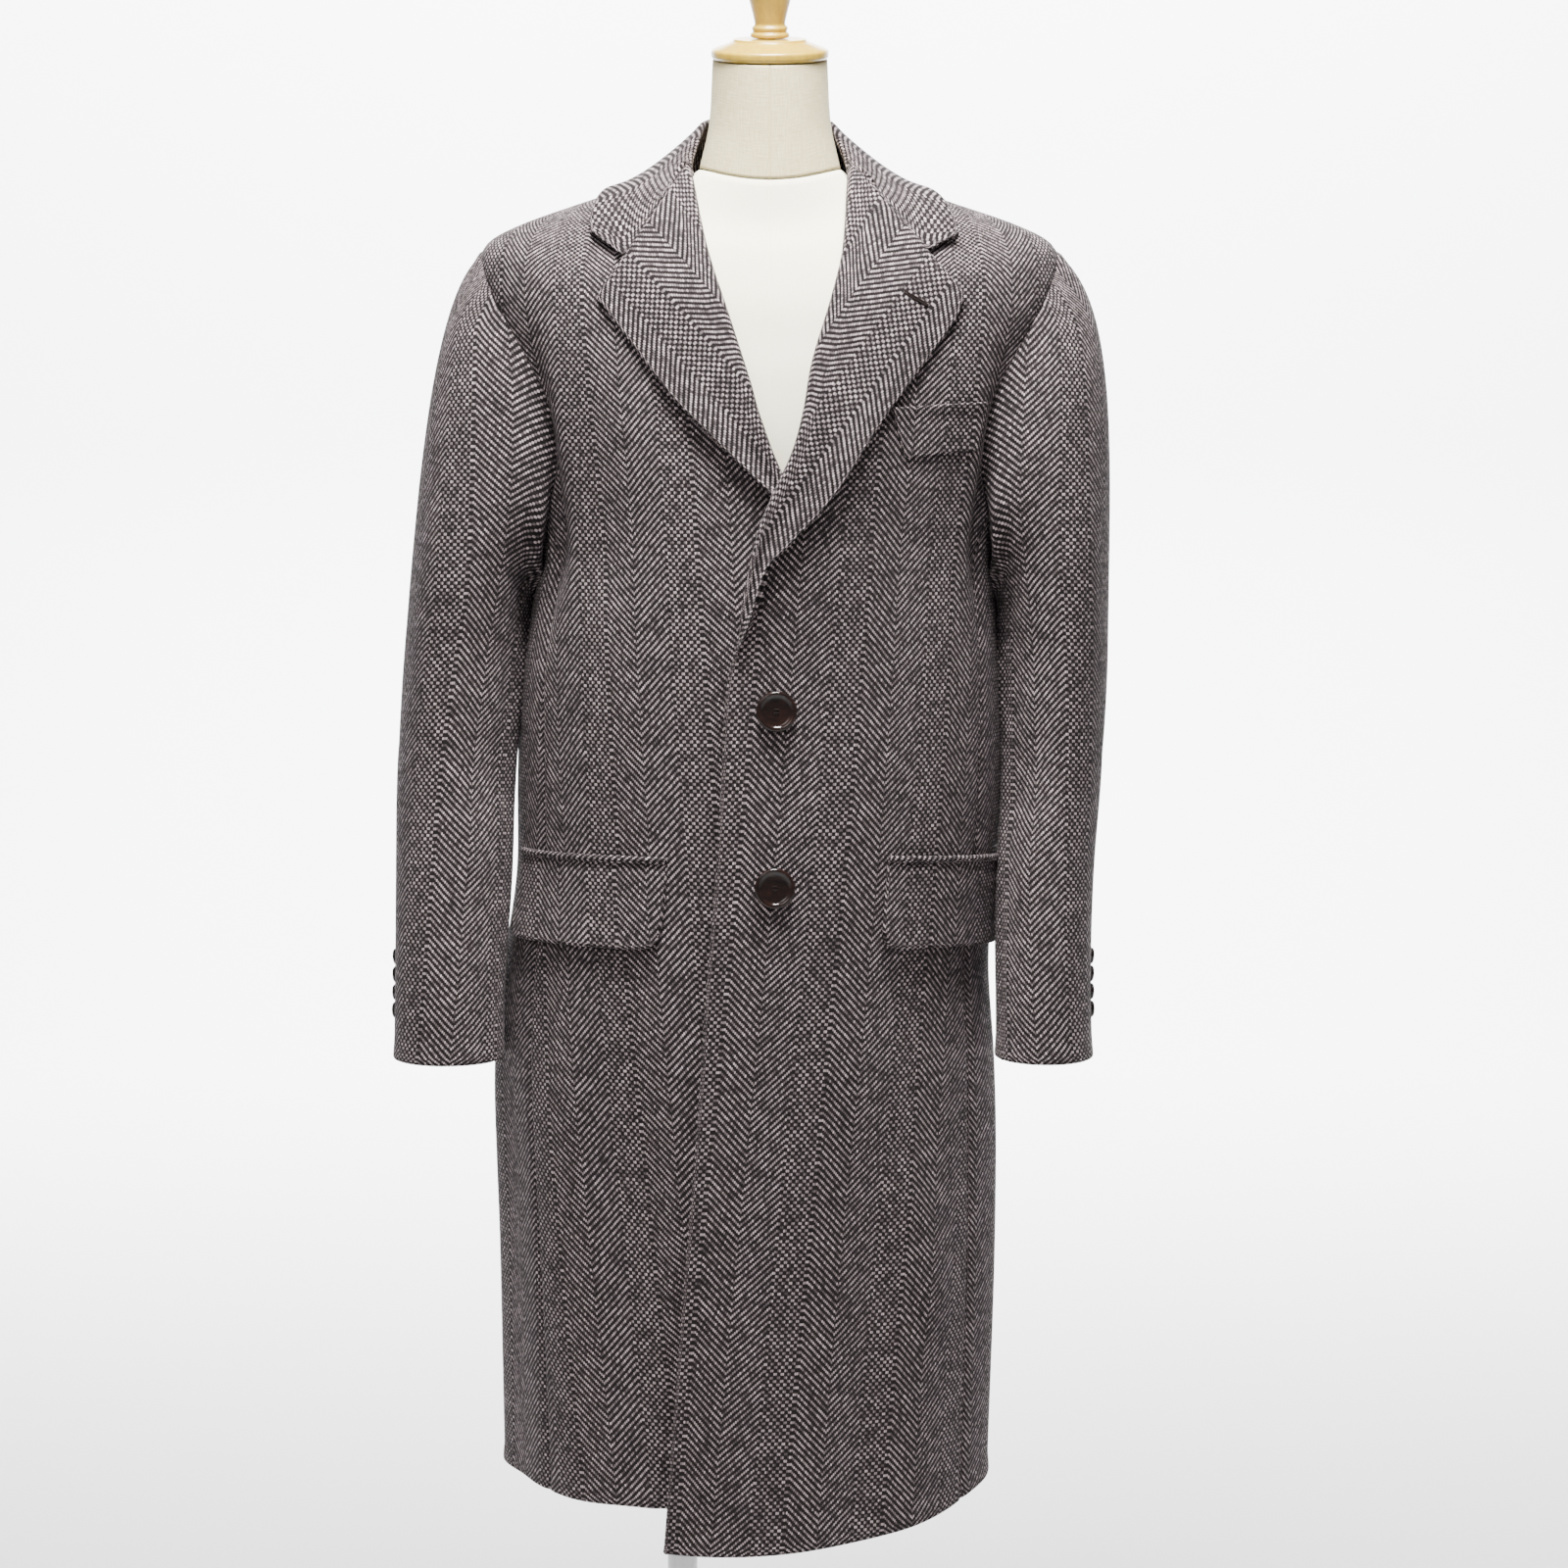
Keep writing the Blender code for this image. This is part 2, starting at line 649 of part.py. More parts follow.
def side_panel(name, side):
    """Build the panel under the arm, from the front's seam to the back's, up to the armhole."""
    outer = []
    inner = []
    base = LOW_STATIONS[-1]
    first = side_seam(side, SIDE_TOP, "front_angle")
    last = side_seam(side, SIDE_TOP, "back_angle")
    rows = [(station, 0.0) for station in LOW_STATIONS]
    rows += [(station, (station - base) / (SIDE_TOP - base)) for station in spread(base, SIDE_TOP, 3)[1:]]
    for station, rise in rows:
        low = side_seam(side, station, "front_angle") + half_gap(station)
        high = side_seam(side, station, "back_angle") - half_gap(station)
        outer_row = []
        inner_row = []
        for across in spread(0, 1, 9):
            angle = low + (high - low) * across
            at = station - hem_drop(side, angle, station)
            if rise > 0:
                crown = first + (last - first) * across
                at = base + (armhole_bottom(crown) - base) * rise
            outer_row.append(front_out(side, side * angle, at, 0.0))
            inner_row.append(front_out(side, side * angle, at, -CLOTH))
        outer.append(outer_row)
        inner.append(inner_row)
    wall(name, outer, inner, COAT_CLOTH)


def back_panel(name, side):
    """Build one back from the side seam to the centre seam; the left one laps over at the vent."""
    outer = []
    inner = []
    for station in sorted(body_stations(8, 5) + [VENT_TOP]):
        low = panel_edge(side, station, "back_angle")
        lap = VENT_LAP if side > 0 and station < VENT_TOP else -half_gap(station)
        outer_row = []
        inner_row = []
        for angle in spread(low, math.pi - VENT_FADE / 6, 9) + [math.pi + lap]:
            lift = 0.0
            if side > 0:
                fade = 1 - ease(VENT_TOP, VENT_TOP + 0.08, station)
                lift = VENT_LIFT * fade * ease(math.pi - VENT_FADE, math.pi - VENT_FADE / 6, angle)
            outer_row.append(BODY.out(side * angle, station, lift))
            inner_row.append(BODY.out(side * angle, station, lift - CLOTH))
        outer.append(outer_row)
        inner.append(inner_row)
    wall(name, outer, inner, COAT_CLOTH)


def curl(base, normal, toward, height, thickness):
    """Return the middle points of cloth rolled back over the edge it comes from."""
    radius = (height + thickness / 2) / 2
    centre = base + normal * (height - radius) - toward * ROLL_GAP
    points = []
    for turn in spread(-math.pi / 2, math.pi / 2, CURL_STEPS):
        points.append(centre + normal * radius * math.sin(turn) - toward * radius * math.cos(turn))
    return points


def folded_row(side, start, path, size):
    """Return a row of lapel or collar middle points: a curl at the roll, then flat along a path."""
    angle, station = BODY.seen_at(start.x, start.z)
    lift = front_lift(side, BODY.point(angle, station))
    normal = BODY.normal(angle, station)
    base = BODY.point(angle, station) + normal * lift
    flat = []
    for share, mark in path:
        place = BODY.seen_at(mark.x, mark.z)
        height = ROLL_HEIGHT * size + (LAPEL_EDGE_HEIGHT - ROLL_HEIGHT * size) * ease(0, 1, share)
        flat.append(front_out(side, *place, height))
    toward = flat[0] - base
    toward = (toward - normal * toward.dot(normal)).normalized()
    return curl(base, normal, toward, ROLL_HEIGHT * size, LAPEL_CLOTH) + flat


def between(low, high, share):
    """Return the mark part of the way between two marks."""
    return Mark(low.z + (high.z - low.z) * share, low.x + (high.x - low.x) * share)


def lapel(name, side):
    """Build a lapel lying on its front from the roll line to its outer edge."""
    edge = LEFT_LAPEL_EDGE if side > 0 else RIGHT_LAPEL_EDGE
    rows = []
    for along in spread(0, 1, 12):
        roll_z = LAPEL_LOW_Z[side] + (GORGE_TOP_Z[side] - LAPEL_LOW_Z[side]) * along
        edge_z = edge[0].z + (edge[-1].z - edge[0].z) * along
        start = Mark(roll_z, line_x(front_line(side), roll_z))
        end = Mark(edge_z, line_x(edge, edge_z))
        path = []
        for share in spread(0.14, 1, FLAT_STEPS):
            path.append((share, between(start, end, share)))
        rows.append(folded_row(side, start, path, 0.5 + 0.5 * ease(0, 0.2, along)))
    sheet(name, rows, LAPEL_CLOTH, COAT_CLOTH)


def collar_end(side):
    """Return the collar's front row: along the gorge to the notch and out to the collar point."""
    top = Mark(GORGE_TOP_Z[side], line_x(front_line(side), GORGE_TOP_Z[side]))
    point = (LEFT_LAPEL_EDGE if side > 0 else RIGHT_LAPEL_EDGE)[-1]
    length = math.hypot(point.x - top.x, point.z - top.z)
    aside = GORGE_GAP * (top.z - point.z) / length * side
    above = GORGE_GAP * abs(point.x - top.x) / length
    start = Mark(top.z + above, top.x + aside)
    notch = between(top, point, NOTCH_SHARE[side])
    notch = Mark(notch.z + above, notch.x + aside)
    path = []
    for share in spread(0.14, 1, FLAT_STEPS - 2):
        path.append((share * 0.7, between(start, notch, share)))
    for share in (0.5, 1.0):
        path.append((0.7 + 0.3 * share, between(notch, COLLAR_POINT[side], share)))
    return folded_row(side, start, path, 1.0)


def collar_section(turn, side):
    """Return one row of collar middle points: up the stand, over the fold and down the leaf."""
    turns = [row.turn for row in COLLAR_FOLDS]
    size = {name: smooth(turns, [getattr(row, name) for row in COLLAR_FOLDS], turn) for name in Fold._fields}
    angle = side * (math.pi - turn * COLLAR_TURN)
    base = BODY.out(angle, NECK_SEAM + STAND_GAP, -CLOTH / 2)
    outward = BODY.normal(angle, NECK_SEAM)
    outward = Vector((outward.x, outward.y, 0)).normalized()
    fold = base + Vector((0, 0, size["up"])) - outward * size["inward"]
    end_angle, end_station = BODY.seen_at(COLLAR_POINT[side].x, COLLAR_POINT[side].z)
    share = ease(LEAF_TURN, 1.0, turn)
    leaf_angle = angle + (end_angle - angle) * share
    leaf_station = size["leaf_station"] + (end_station - size["leaf_station"]) * share
    edge = BODY.out(leaf_angle, leaf_station, LEAF_OUT)
    rise = (fold - base).normalized()
    fall = (edge - fold).normalized()
    half = FOLD_ROUND
    row = [base, base + (fold - base) * 0.45, fold - rise * half]
    row.append(fold - rise * half * 0.25 + fall * half * 0.25 + Vector((0, 0, half * 0.1)))
    row.append(fold + fall * half)
    for share in spread(0.14, 1, FLAT_STEPS):
        sag = LEAF_SAG * math.sin(math.pi * share)
        point = fold + (edge - fold) * share - Vector((0, 0, sag))
        row.append(lie_out(BODY, point, leaf_angle, leaf_station, LEAF_OUT))
    return row


def collar(name):
    """Build the stand and leaf in one piece from one front round the neck to the other."""
    rows = []
    for side in (-1, 1):
        turns = spread(1, 0, 13) if side < 0 else spread(0, 1, 13)[1:]
        end = collar_end(side)
        for turn in turns:
            share = ease(COLLAR_END_BLEND, 1.0, turn)
            section = collar_section(turn, side)
            row = [low.lerp(high, share) for low, high in zip(section, end)]
            for i in range(CURL_STEPS, len(row)):
                angle = side * (math.pi - turn * COLLAR_TURN)
                row[i] = lie_out(BODY, row[i], angle, NECK_SEAM - 0.04, LEAF_OUT)
            rows.append(row)
    sheet(name, rows, LAPEL_CLOTH, COAT_CLOTH)


def armhole_point(side, turn):
    """Return the armhole edge at a turn: 0 at the shoulder, 90 degrees in front, 180 under the arm."""
    middle = (ARMPIT + SHOULDER_TIP) / 2
    half = (SHOULDER_TIP - ARMPIT) / 2
    reach = FRONT_REACH if math.sin(turn) > 0 else BACK_REACH
    return BODY.point(side * (SEAM_ANGLE - reach * math.sin(turn)), middle + half * math.cos(turn))


def armhole_centre(side):
    """Return the middle of one armhole."""
    turns = [2 * math.pi * i / 24 for i in range(24)]
    return sum((armhole_point(side, turn) for turn in turns), Vector()) / len(turns)


ARMHOLE_CENTRES = {side: armhole_centre(side) for side in (1, -1)}


def sleeve_ring(side, turn, z):
    """Return a point of the hanging sleeve at one height."""
    rings = SLEEVE_RINGS[side]
    heights = [ring.z for ring in rings]
    size = {name: smooth(heights, [getattr(ring, name) for ring in rings], z) for name in SleeveRing._fields}
    middle = (size["outer_x"] + size["inner_x"]) / 2
    half = (size["outer_x"] - size["inner_x"]) / 2
    return Vector((
        middle + half * math.cos(turn),
        size["middle_y"] - size["half_depth"] * math.sin(turn),
        z,
    ))


def sleeve_point(side, turn, down):
    """Return a sleeve point; down runs 0 to 1 over the sleeve head and 1 to 2 to the cuff."""
    if down >= 1:
        return sleeve_ring(side, turn, SLEEVE_TOP_RING + (CUFF - SLEEVE_TOP_RING) * (down - 1))
    centre = ARMHOLE_CENTRES[side]
    start = centre + (armhole_point(side, turn) - centre) * ARMHOLE_INSET
    end = sleeve_ring(side, turn, SLEEVE_TOP_RING)
    cosine = math.cos(turn)
    leave = Vector((side * (0.62 + 0.26 * cosine), -0.3 * math.sin(turn), 0.13 * cosine - 0.6)).normalized()
    drop = (end - sleeve_ring(side, turn, SLEEVE_TOP_RING - 0.02)).normalized()
    first = start + leave * (HEAD_UNDER[side] + HEAD_OVER[side]) / 2
    first += leave * (HEAD_OVER[side] - HEAD_UNDER[side]) / 2 * cosine
    second = end + drop * HEAD_DROP * (end - start).length
    rest = 1 - down
    return (
        start * rest ** 3
        + first * 3 * rest ** 2 * down
        + second * 3 * rest * down ** 2
        + end * down ** 3
    )


def sleeve_out(side, turn, down, distance, step=0.002):
    """Return a sleeve point moved out from the cloth."""
    around = sleeve_point(side, turn + step, down) - sleeve_point(side, turn - step, down)
    along = sleeve_point(side, turn, down + step) - sleeve_point(side, turn, down - step)
    normal = around.cross(along).normalized() * side
    return sleeve_point(side, turn, down) + normal * distance


def back_seam(down):
    """Return the turn of the hind-arm seam, which comes round to the outside at the cuff."""
    return BACK_SEAM_TOP + (BACK_SEAM_CUFF - BACK_SEAM_TOP) * ease(0, 2, down)


def sleeve_panel(name, side, under):
    """Build the top or under sleeve between the fore-arm and hind-arm seams."""
    outer = []
    inner = []
    gap = SEAM_GAP / 0.1
    for down in spread(0, 1, 7) + spread(1, 2, 9)[1:]:
        low = back_seam(down) + gap
        high = FRONT_SEAM - gap
        columns = 12
        if under:
            low = FRONT_SEAM + gap
            high = 2 * math.pi + back_seam(down) - gap
            columns = 10
        outer.append([sleeve_out(side, turn, down, 0.0) for turn in spread(low, high, columns)])
        inner.append([sleeve_out(side, turn, down, -CLOTH) for turn in spread(low, high, columns)])
    wall(name, outer, inner, COAT_CLOTH)


def flap(name, side):
    """Build a pocket flap on its front, hanging a little away at the bottom."""
    low, high = FLAP_SPAN[side]
    columns = [0, 0.025, 0.075] + spread(0.17, 0.83, 8) + [0.925, 0.975, 1]
    length = (high - low) * 0.175
    outer = []
    inner = []
    for down in spread(0, 1, 4):
        outer_row = []
        inner_row = []
        for across in columns:
            near = min(across, 1 - across) * length
            cut = max(FLAP_CORNER - near, 0.0) / FLAP_CORNER
            bottom = FLAP_BOTTOM + FLAP_CORNER * (1 - math.sqrt(max(1 - cut ** 2, 0.0)))
            station = FLAP_TOP + (bottom - FLAP_TOP) * down
            angle = side * (low + (high - low) * across)
            stand = TRIM_GAP + 0.0026 * down ** 2
            outer_row.append(front_out(side, angle, station, stand + FLAP_CLOTH))
            inner_row.append(front_out(side, angle, station, stand))
        outer.append(outer_row)
        inner.append(inner_row)
    wall(name, outer, inner, COAT_CLOTH)


def jet(name, side):
    """Build the narrow piped edge above a pocket flap."""
    low, high = FLAP_SPAN[side]
    outer = []
    inner = []
    for share in (0, 0.5, 1):
        station = FLAP_TOP + TRIM_GAP + JET_HEIGHT * share
        out = TRIM_GAP + JET_CLOTH * (1 if share == 0.5 else 0.6)
        angles = [side * angle for angle in spread(low, high, 11)]
        outer.append([front_out(side, angle, station, out) for angle in angles])
        inner.append([front_out(side, angle, station, TRIM_GAP) for angle in angles])
    wall(name, outer, inner, COAT_CLOTH)


def breast_welt(name):
    """Build the slanting welt of the breast pocket on the left front."""
    outer = []
    inner = []
    for down in spread(0, 1, 3):
        outer_row = []
        inner_row = []
        for across in spread(0, 1, 6):
            mark = between(between(*WELT_TOP, across), between(*WELT_BOTTOM, across), down)
            place = BODY.seen_at(mark.x, mark.z)
            outer_row.append(front_out(1, *place, TRIM_GAP + WELT_CLOTH))
            inner_row.append(front_out(1, *place, TRIM_GAP))
        outer.append(outer_row)
        inner.append(inner_row)
    wall(name, outer, inner, COAT_CLOTH)


def button_profile(radius, height):
    """Return a sew-through button: flat back, round rim and dished middle."""
    return (
        Turn(radius * 0.72, 0.0),
        Turn(radius * 0.96, height * 0.35),
        Turn(radius, height * 0.65),
        Turn(radius * 0.93, height),
        Turn(radius * 0.78, height),
        Turn(radius * 0.62, height * 0.72),
    )


def buttons():
    """Build the front buttons and the row on each cuff."""
    for name, mark in FRONT_BUTTONS.items():
        angle, station = BODY.seen_at(mark.x, mark.z)
        place = facing(BODY.normal(angle, station), front_out(1, angle, station, BUTTON_SHANK + 0.0004))
        profile = button_profile(BUTTON_RADIUS, BUTTON_HEIGHT)
        turned("front_button_" + name, profile, ROUND_SIDES, place, BUTTON_HORN)
    for side, word in ((1, "left"), (-1, "right")):
        for i in range(CUFF_BUTTONS):
            z = CUFF_BUTTON_FIRST + CUFF_BUTTON_PITCH * i
            down = 1 + (z - SLEEVE_TOP_RING) / (CUFF - SLEEVE_TOP_RING)
            turn = CUFF_BUTTON_TURN
            foot = sleeve_out(side, turn, down, BUTTON_SHANK)
            normal = sleeve_out(side, turn, down, 1.0) - sleeve_out(side, turn, down, 0.0)
            profile = button_profile(CUFF_BUTTON_RADIUS, CUFF_BUTTON_HEIGHT)
            name = "cuff_button_%s_%d" % (word, i + 1)
            turned(name, profile, CUFF_BUTTON_SIDES, facing(normal, foot), BUTTON_HORN)


def dress_form():
    """Build the torso, neck, cap and finial, and the pole and base they stand on."""
    angles = [2 * math.pi * i / FORM_SIDES for i in range(FORM_SIDES)]
    torso = [[FORM.point(angle, ring.station) for angle in angles] for ring in FORM_RINGS]
    loft("form_torso", torso, FORM_CLOTH)
    lift = Vector((0, 0, TRIM_GAP))
    stations = spread(0, 1, 5)
    neck = [[NECK.point(angle, station) + lift for angle in angles] for station in stations]
    loft("form_neck", neck, NECK_LINEN)
    place = Matrix.Translation(CAP_CENTRE + lift) @ Matrix.Rotation(CAP_TILT, 4, "X")
    turned("neck_cap", CAP_PROFILE, ROUND_SIDES, place, WOOD)
    turned("finial", FINIAL_PROFILE, ROUND_SIDES, place, WOOD)
    stand = Matrix.Translation((POLE_X, 0, 0))
    top = FORM_RINGS[0].station - TRIM_GAP
    foot = BASE_PROFILE[-1].height + TRIM_GAP
    pole = (Turn(POLE_RADIUS, foot), Turn(POLE_RADIUS, top))
    turned("pole", pole, ROUND_SIDES, stand, METAL)
    turned("base", BASE_PROFILE, BASE_SIDES, stand, METAL)


for side, word in ((1, "left"), (-1, "right")):
    front_panel("front_" + word, side)
    side_panel("side_" + word, side)
    back_panel("back_" + word, side)
    sleeve_panel("top_sleeve_" + word, side, False)
    sleeve_panel("under_sleeve_" + word, side, True)
    lapel("lapel_" + word, side)
    flap("flap_" + word, side)
    jet("jet_" + word, side)
collar("collar")
breast_welt("breast_welt")
buttons()
dress_form()
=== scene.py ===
"""Single-breasted herringbone overcoat, buttoned on a limbless dress form.

Metres, +Z up. The front faces -Y and the wearer's left side is +X.
"""
import logging
import math
from dataclasses import dataclass
from enum import Enum
from functools import partial, reduce
from typing import Callable, Generic, NamedTuple, Sequence, TypeVar

import bmesh
import bpy
import numpy as np
from mathutils import Matrix, Vector


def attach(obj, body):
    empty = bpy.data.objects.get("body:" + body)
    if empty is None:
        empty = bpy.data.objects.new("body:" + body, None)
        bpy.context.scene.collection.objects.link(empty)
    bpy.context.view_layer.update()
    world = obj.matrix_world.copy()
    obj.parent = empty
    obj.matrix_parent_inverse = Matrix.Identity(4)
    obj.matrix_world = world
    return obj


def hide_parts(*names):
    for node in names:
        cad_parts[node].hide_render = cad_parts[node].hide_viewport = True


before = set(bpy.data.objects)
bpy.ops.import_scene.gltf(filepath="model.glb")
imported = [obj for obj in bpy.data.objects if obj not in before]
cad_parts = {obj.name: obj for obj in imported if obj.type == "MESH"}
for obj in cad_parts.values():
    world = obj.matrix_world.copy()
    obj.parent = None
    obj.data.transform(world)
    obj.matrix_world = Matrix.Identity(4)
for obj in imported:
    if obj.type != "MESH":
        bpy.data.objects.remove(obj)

LOG = logging.getLogger("overcoat")
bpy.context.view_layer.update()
Array = np.ndarray
Values = Array | float
Socket = bpy.types.NodeSocket
Material = bpy.types.Material
Mesh = bpy.types.Mesh
Piece = bpy.types.Object
Spot = tuple[float, float, float]
Colour = tuple[float, float, float, float]
Value = TypeVar("Value")


class Side(Enum):
    """Side of the wearer."""

    LEFT = 1
    RIGHT = -1

    @property
    def word(self) -> str:
        """Return the side's name in lower case."""
        return self.name.lower()


class Seam(Enum):
    """Seam of a side panel."""

    FRONT = -1
    BACK = 1


@dataclass(frozen=True)
class Sided(Generic[Value]):
    """One value for each side of the wearer."""

    left: Value
    right: Value

    def __getitem__(self, side: Side) -> Value:
        """Return a side's value."""
        return self.left if side is Side.LEFT else self.right


class Ring(NamedTuple):
    """Level of a figure: heights, centre and half sizes."""

    station: float
    side_z: float
    front_z: float
    back_z: float
    centre_x: float
    half_width: float
    front_depth: float
    back_depth: float


class Mark(NamedTuple):
    """Point seen from the front."""

    z: float
    x: float


class Lift(NamedTuple):
    """How far the upper front stands out at a height."""

    z: float
    out: float


class SideSeam(NamedTuple):
    """Degrees round the figure of a side panel's two seams at a station."""

    station: float
    front: float
    back: float


class Fold(NamedTuple):
    """Collar section at a share of the way from the centre back to the front."""

    turn: float
    inward: float
    up: float
    leaf_station: float


class SleeveRing(NamedTuple):
    """Level of a hanging sleeve."""

    z: float
    outer_x: float
    inner_x: float
    middle_y: float
    half_depth: float


class Turn(NamedTuple):
    """Point of a turned profile."""

    radius: float
    height: float


BODY_RINGS = (
    Ring(0.300, 0.300, 0.300, 0.300, -0.0060, 0.1890, 0.168, 0.150),
    Ring(0.374, 0.374, 0.374, 0.374, -0.0060, 0.1907, 0.168, 0.150),
    Ring(0.550, 0.550, 0.550, 0.550, -0.0048, 0.1950, 0.166, 0.148),
    Ring(0.700, 0.700, 0.700, 0.700, -0.0065, 0.1970, 0.163, 0.145),
    Ring(0.780, 0.780, 0.780, 0.780, -0.0055, 0.1925, 0.159, 0.141),
    Ring(0.850, 0.850, 0.850, 0.850, 0.0020, 0.1900, 0.156, 0.138),
    Ring(0.920, 0.920, 0.920, 0.920, 0.0050, 0.1910, 0.153, 0.135),
    Ring(1.000, 1.000, 1.000, 1.000, 0.0060, 0.1890, 0.150, 0.133),
    Ring(1.060, 1.060, 1.060, 1.060, 0.0080, 0.1825, 0.148, 0.131),
    Ring(1.105, 1.105, 1.105, 1.105, 0.0105, 0.1780, 0.146, 0.130),
    Ring(1.190, 1.190, 1.184, 1.190, 0.0125, 0.1950, 0.140, 0.126),
    Ring(1.262, 1.262, 1.235, 1.247, 0.0130, 0.2170, 0.130, 0.119),
    Ring(1.306, 1.306, 1.266, 1.284, 0.0130, 0.2285, 0.121, 0.111),
    Ring(1.338, 1.339, 1.288, 1.310, 0.0125, 0.2250, 0.114, 0.105),
    Ring(1.362, 1.3535, 1.302, 1.327, 0.0120, 0.2060, 0.108, 0.101),
    Ring(1.421, 1.374, 1.333, 1.360, 0.0110, 0.1500, 0.092, 0.092),
    Ring(1.504, 1.399, 1.372, 1.404, 0.0110, 0.0700, 0.064, 0.076),
    Ring(1.540, 1.410, 1.389, 1.423, 0.0110, 0.0360, 0.052, 0.069),
)
SIDE_SEAMS = Sided(
    left=(
        SideSeam(0.3, 63.0, 119.0), SideSeam(0.5, 63.0, 119.0), SideSeam(0.8, 63.0, 119.0),
        SideSeam(1.0, 65.5, 116.5), SideSeam(1.08, 68.5, 113.0), SideSeam(1.135, 71.6, 110.4),
    ),
    right=(
        SideSeam(0.3, 53.0, 117.0), SideSeam(0.4, 54.0, 117.0), SideSeam(0.78, 60.0, 119.0),
        SideSeam(0.93, 62.5, 118.0), SideSeam(1.06, 67.0, 114.0), SideSeam(1.135, 71.6, 110.4),
    ),
)
FRONT_LINES = Sided(
    left=(
        Mark(0.3, -0.0725), Mark(0.333, -0.0695), Mark(0.554, -0.051), Mark(0.662, -0.042),
        Mark(0.766, -0.035), Mark(0.855, -0.0276), Mark(0.922, -0.0235), Mark(1.004, -0.0186),
        Mark(1.036, -0.011), Mark(1.078, -0.002), Mark(1.123, 0.009), Mark(1.174, 0.032),
        Mark(1.205, 0.0412), Mark(1.241, 0.0485), Mark(1.293, 0.0645), Mark(1.331, 0.0735),
        Mark(1.394, 0.0778),
    ),
    right=(
        Mark(0.3, 0.11), Mark(0.37, 0.105), Mark(0.7, 0.075), Mark(0.985, 0.052),
        Mark(1.09, 0.046), Mark(1.135, 0.0315), Mark(1.174, 0.013), Mark(1.205, 0.001),
        Mark(1.226, -0.0052), Mark(1.278, -0.0222), Mark(1.331, -0.039), Mark(1.392, -0.0512),
    ),
)
LAPEL_EDGES = Sided(
    left=(
        Mark(1.03, -0.0106), Mark(1.05, -0.0018), Mark(1.08, 0.0066), Mark(1.095, 0.0126),
        Mark(1.107, 0.024), Mark(1.143, 0.0544), Mark(1.196, 0.09), Mark(1.245, 0.128),
        Mark(1.282, 0.1545), Mark(1.301, 0.1615),
    ),
    right=(
        Mark(1.128, 0.03), Mark(1.149, 0.013), Mark(1.182, -0.0205), Mark(1.219, -0.0576),
        Mark(1.267, -0.0951), Mark(1.298, -0.1187),
    ),
)
LAP_LIFTS = (
    Lift(0.3, 0.004), Lift(1.0, 0.004), Lift(1.08, 0.008), Lift(1.14, 0.0115),
    Lift(1.2, 0.01), Lift(1.28, 0.003), Lift(1.34, 0.0), Lift(1.42, 0.0),
)
GRAIN_LINES = Sided(
    left=(
        Mark(0.3, -0.0725), Mark(0.554, -0.051), Mark(0.855, -0.0222), Mark(1.004, -0.0092),
        Mark(1.212, 0.0075), Mark(1.4, 0.0215),
    ),
    right=(
        Mark(0.3, 0.0605), Mark(0.396, 0.05), Mark(0.554, 0.032), Mark(0.71, 0.0165),
        Mark(0.88, 0.0015), Mark(1.056, -0.0109), Mark(1.159, -0.0176), Mark(1.4, -0.035),
    ),
)
COLLAR_FOLDS = (
    Fold(0.00, 0.010, 0.045, 1.446),
    Fold(0.40, 0.014, 0.044, 1.450),
    Fold(0.75, 0.0165, 0.038, 1.461),
    Fold(0.88, 0.010, 0.024, 1.438),
    Fold(1.00, 0.004, 0.010, 1.400),
)
SLEEVE_RINGS = Sided(
    left=(
        SleeveRing(0.690, 0.2660, 0.1900, -0.064, 0.049),
        SleeveRing(0.708, 0.2660, 0.1900, -0.060, 0.049),
        SleeveRing(0.770, 0.2655, 0.1920, -0.046, 0.053),
        SleeveRing(0.850, 0.2690, 0.1965, -0.024, 0.060),
        SleeveRing(0.920, 0.2755, 0.2000, -0.006, 0.066),
        SleeveRing(1.000, 0.2806, 0.1990, 0.004, 0.072),
        SleeveRing(1.060, 0.2815, 0.1945, 0.005, 0.075),
        SleeveRing(1.080, 0.2815, 0.1920, 0.005, 0.076),
    ),
    right=(
        SleeveRing(0.690, -0.2815, -0.1955, -0.070, 0.049),
        SleeveRing(0.708, -0.2815, -0.1955, -0.066, 0.049),
        SleeveRing(0.770, -0.2815, -0.1950, -0.052, 0.053),
        SleeveRing(0.840, -0.2825, -0.1940, -0.030, 0.059),
        SleeveRing(0.920, -0.2830, -0.1920, -0.008, 0.066),
        SleeveRing(1.000, -0.2790, -0.1860, 0.004, 0.072),
        SleeveRing(1.060, -0.2740, -0.1780, 0.005, 0.075),
        SleeveRing(1.080, -0.2720, -0.1750, 0.005, 0.076),
    ),
)
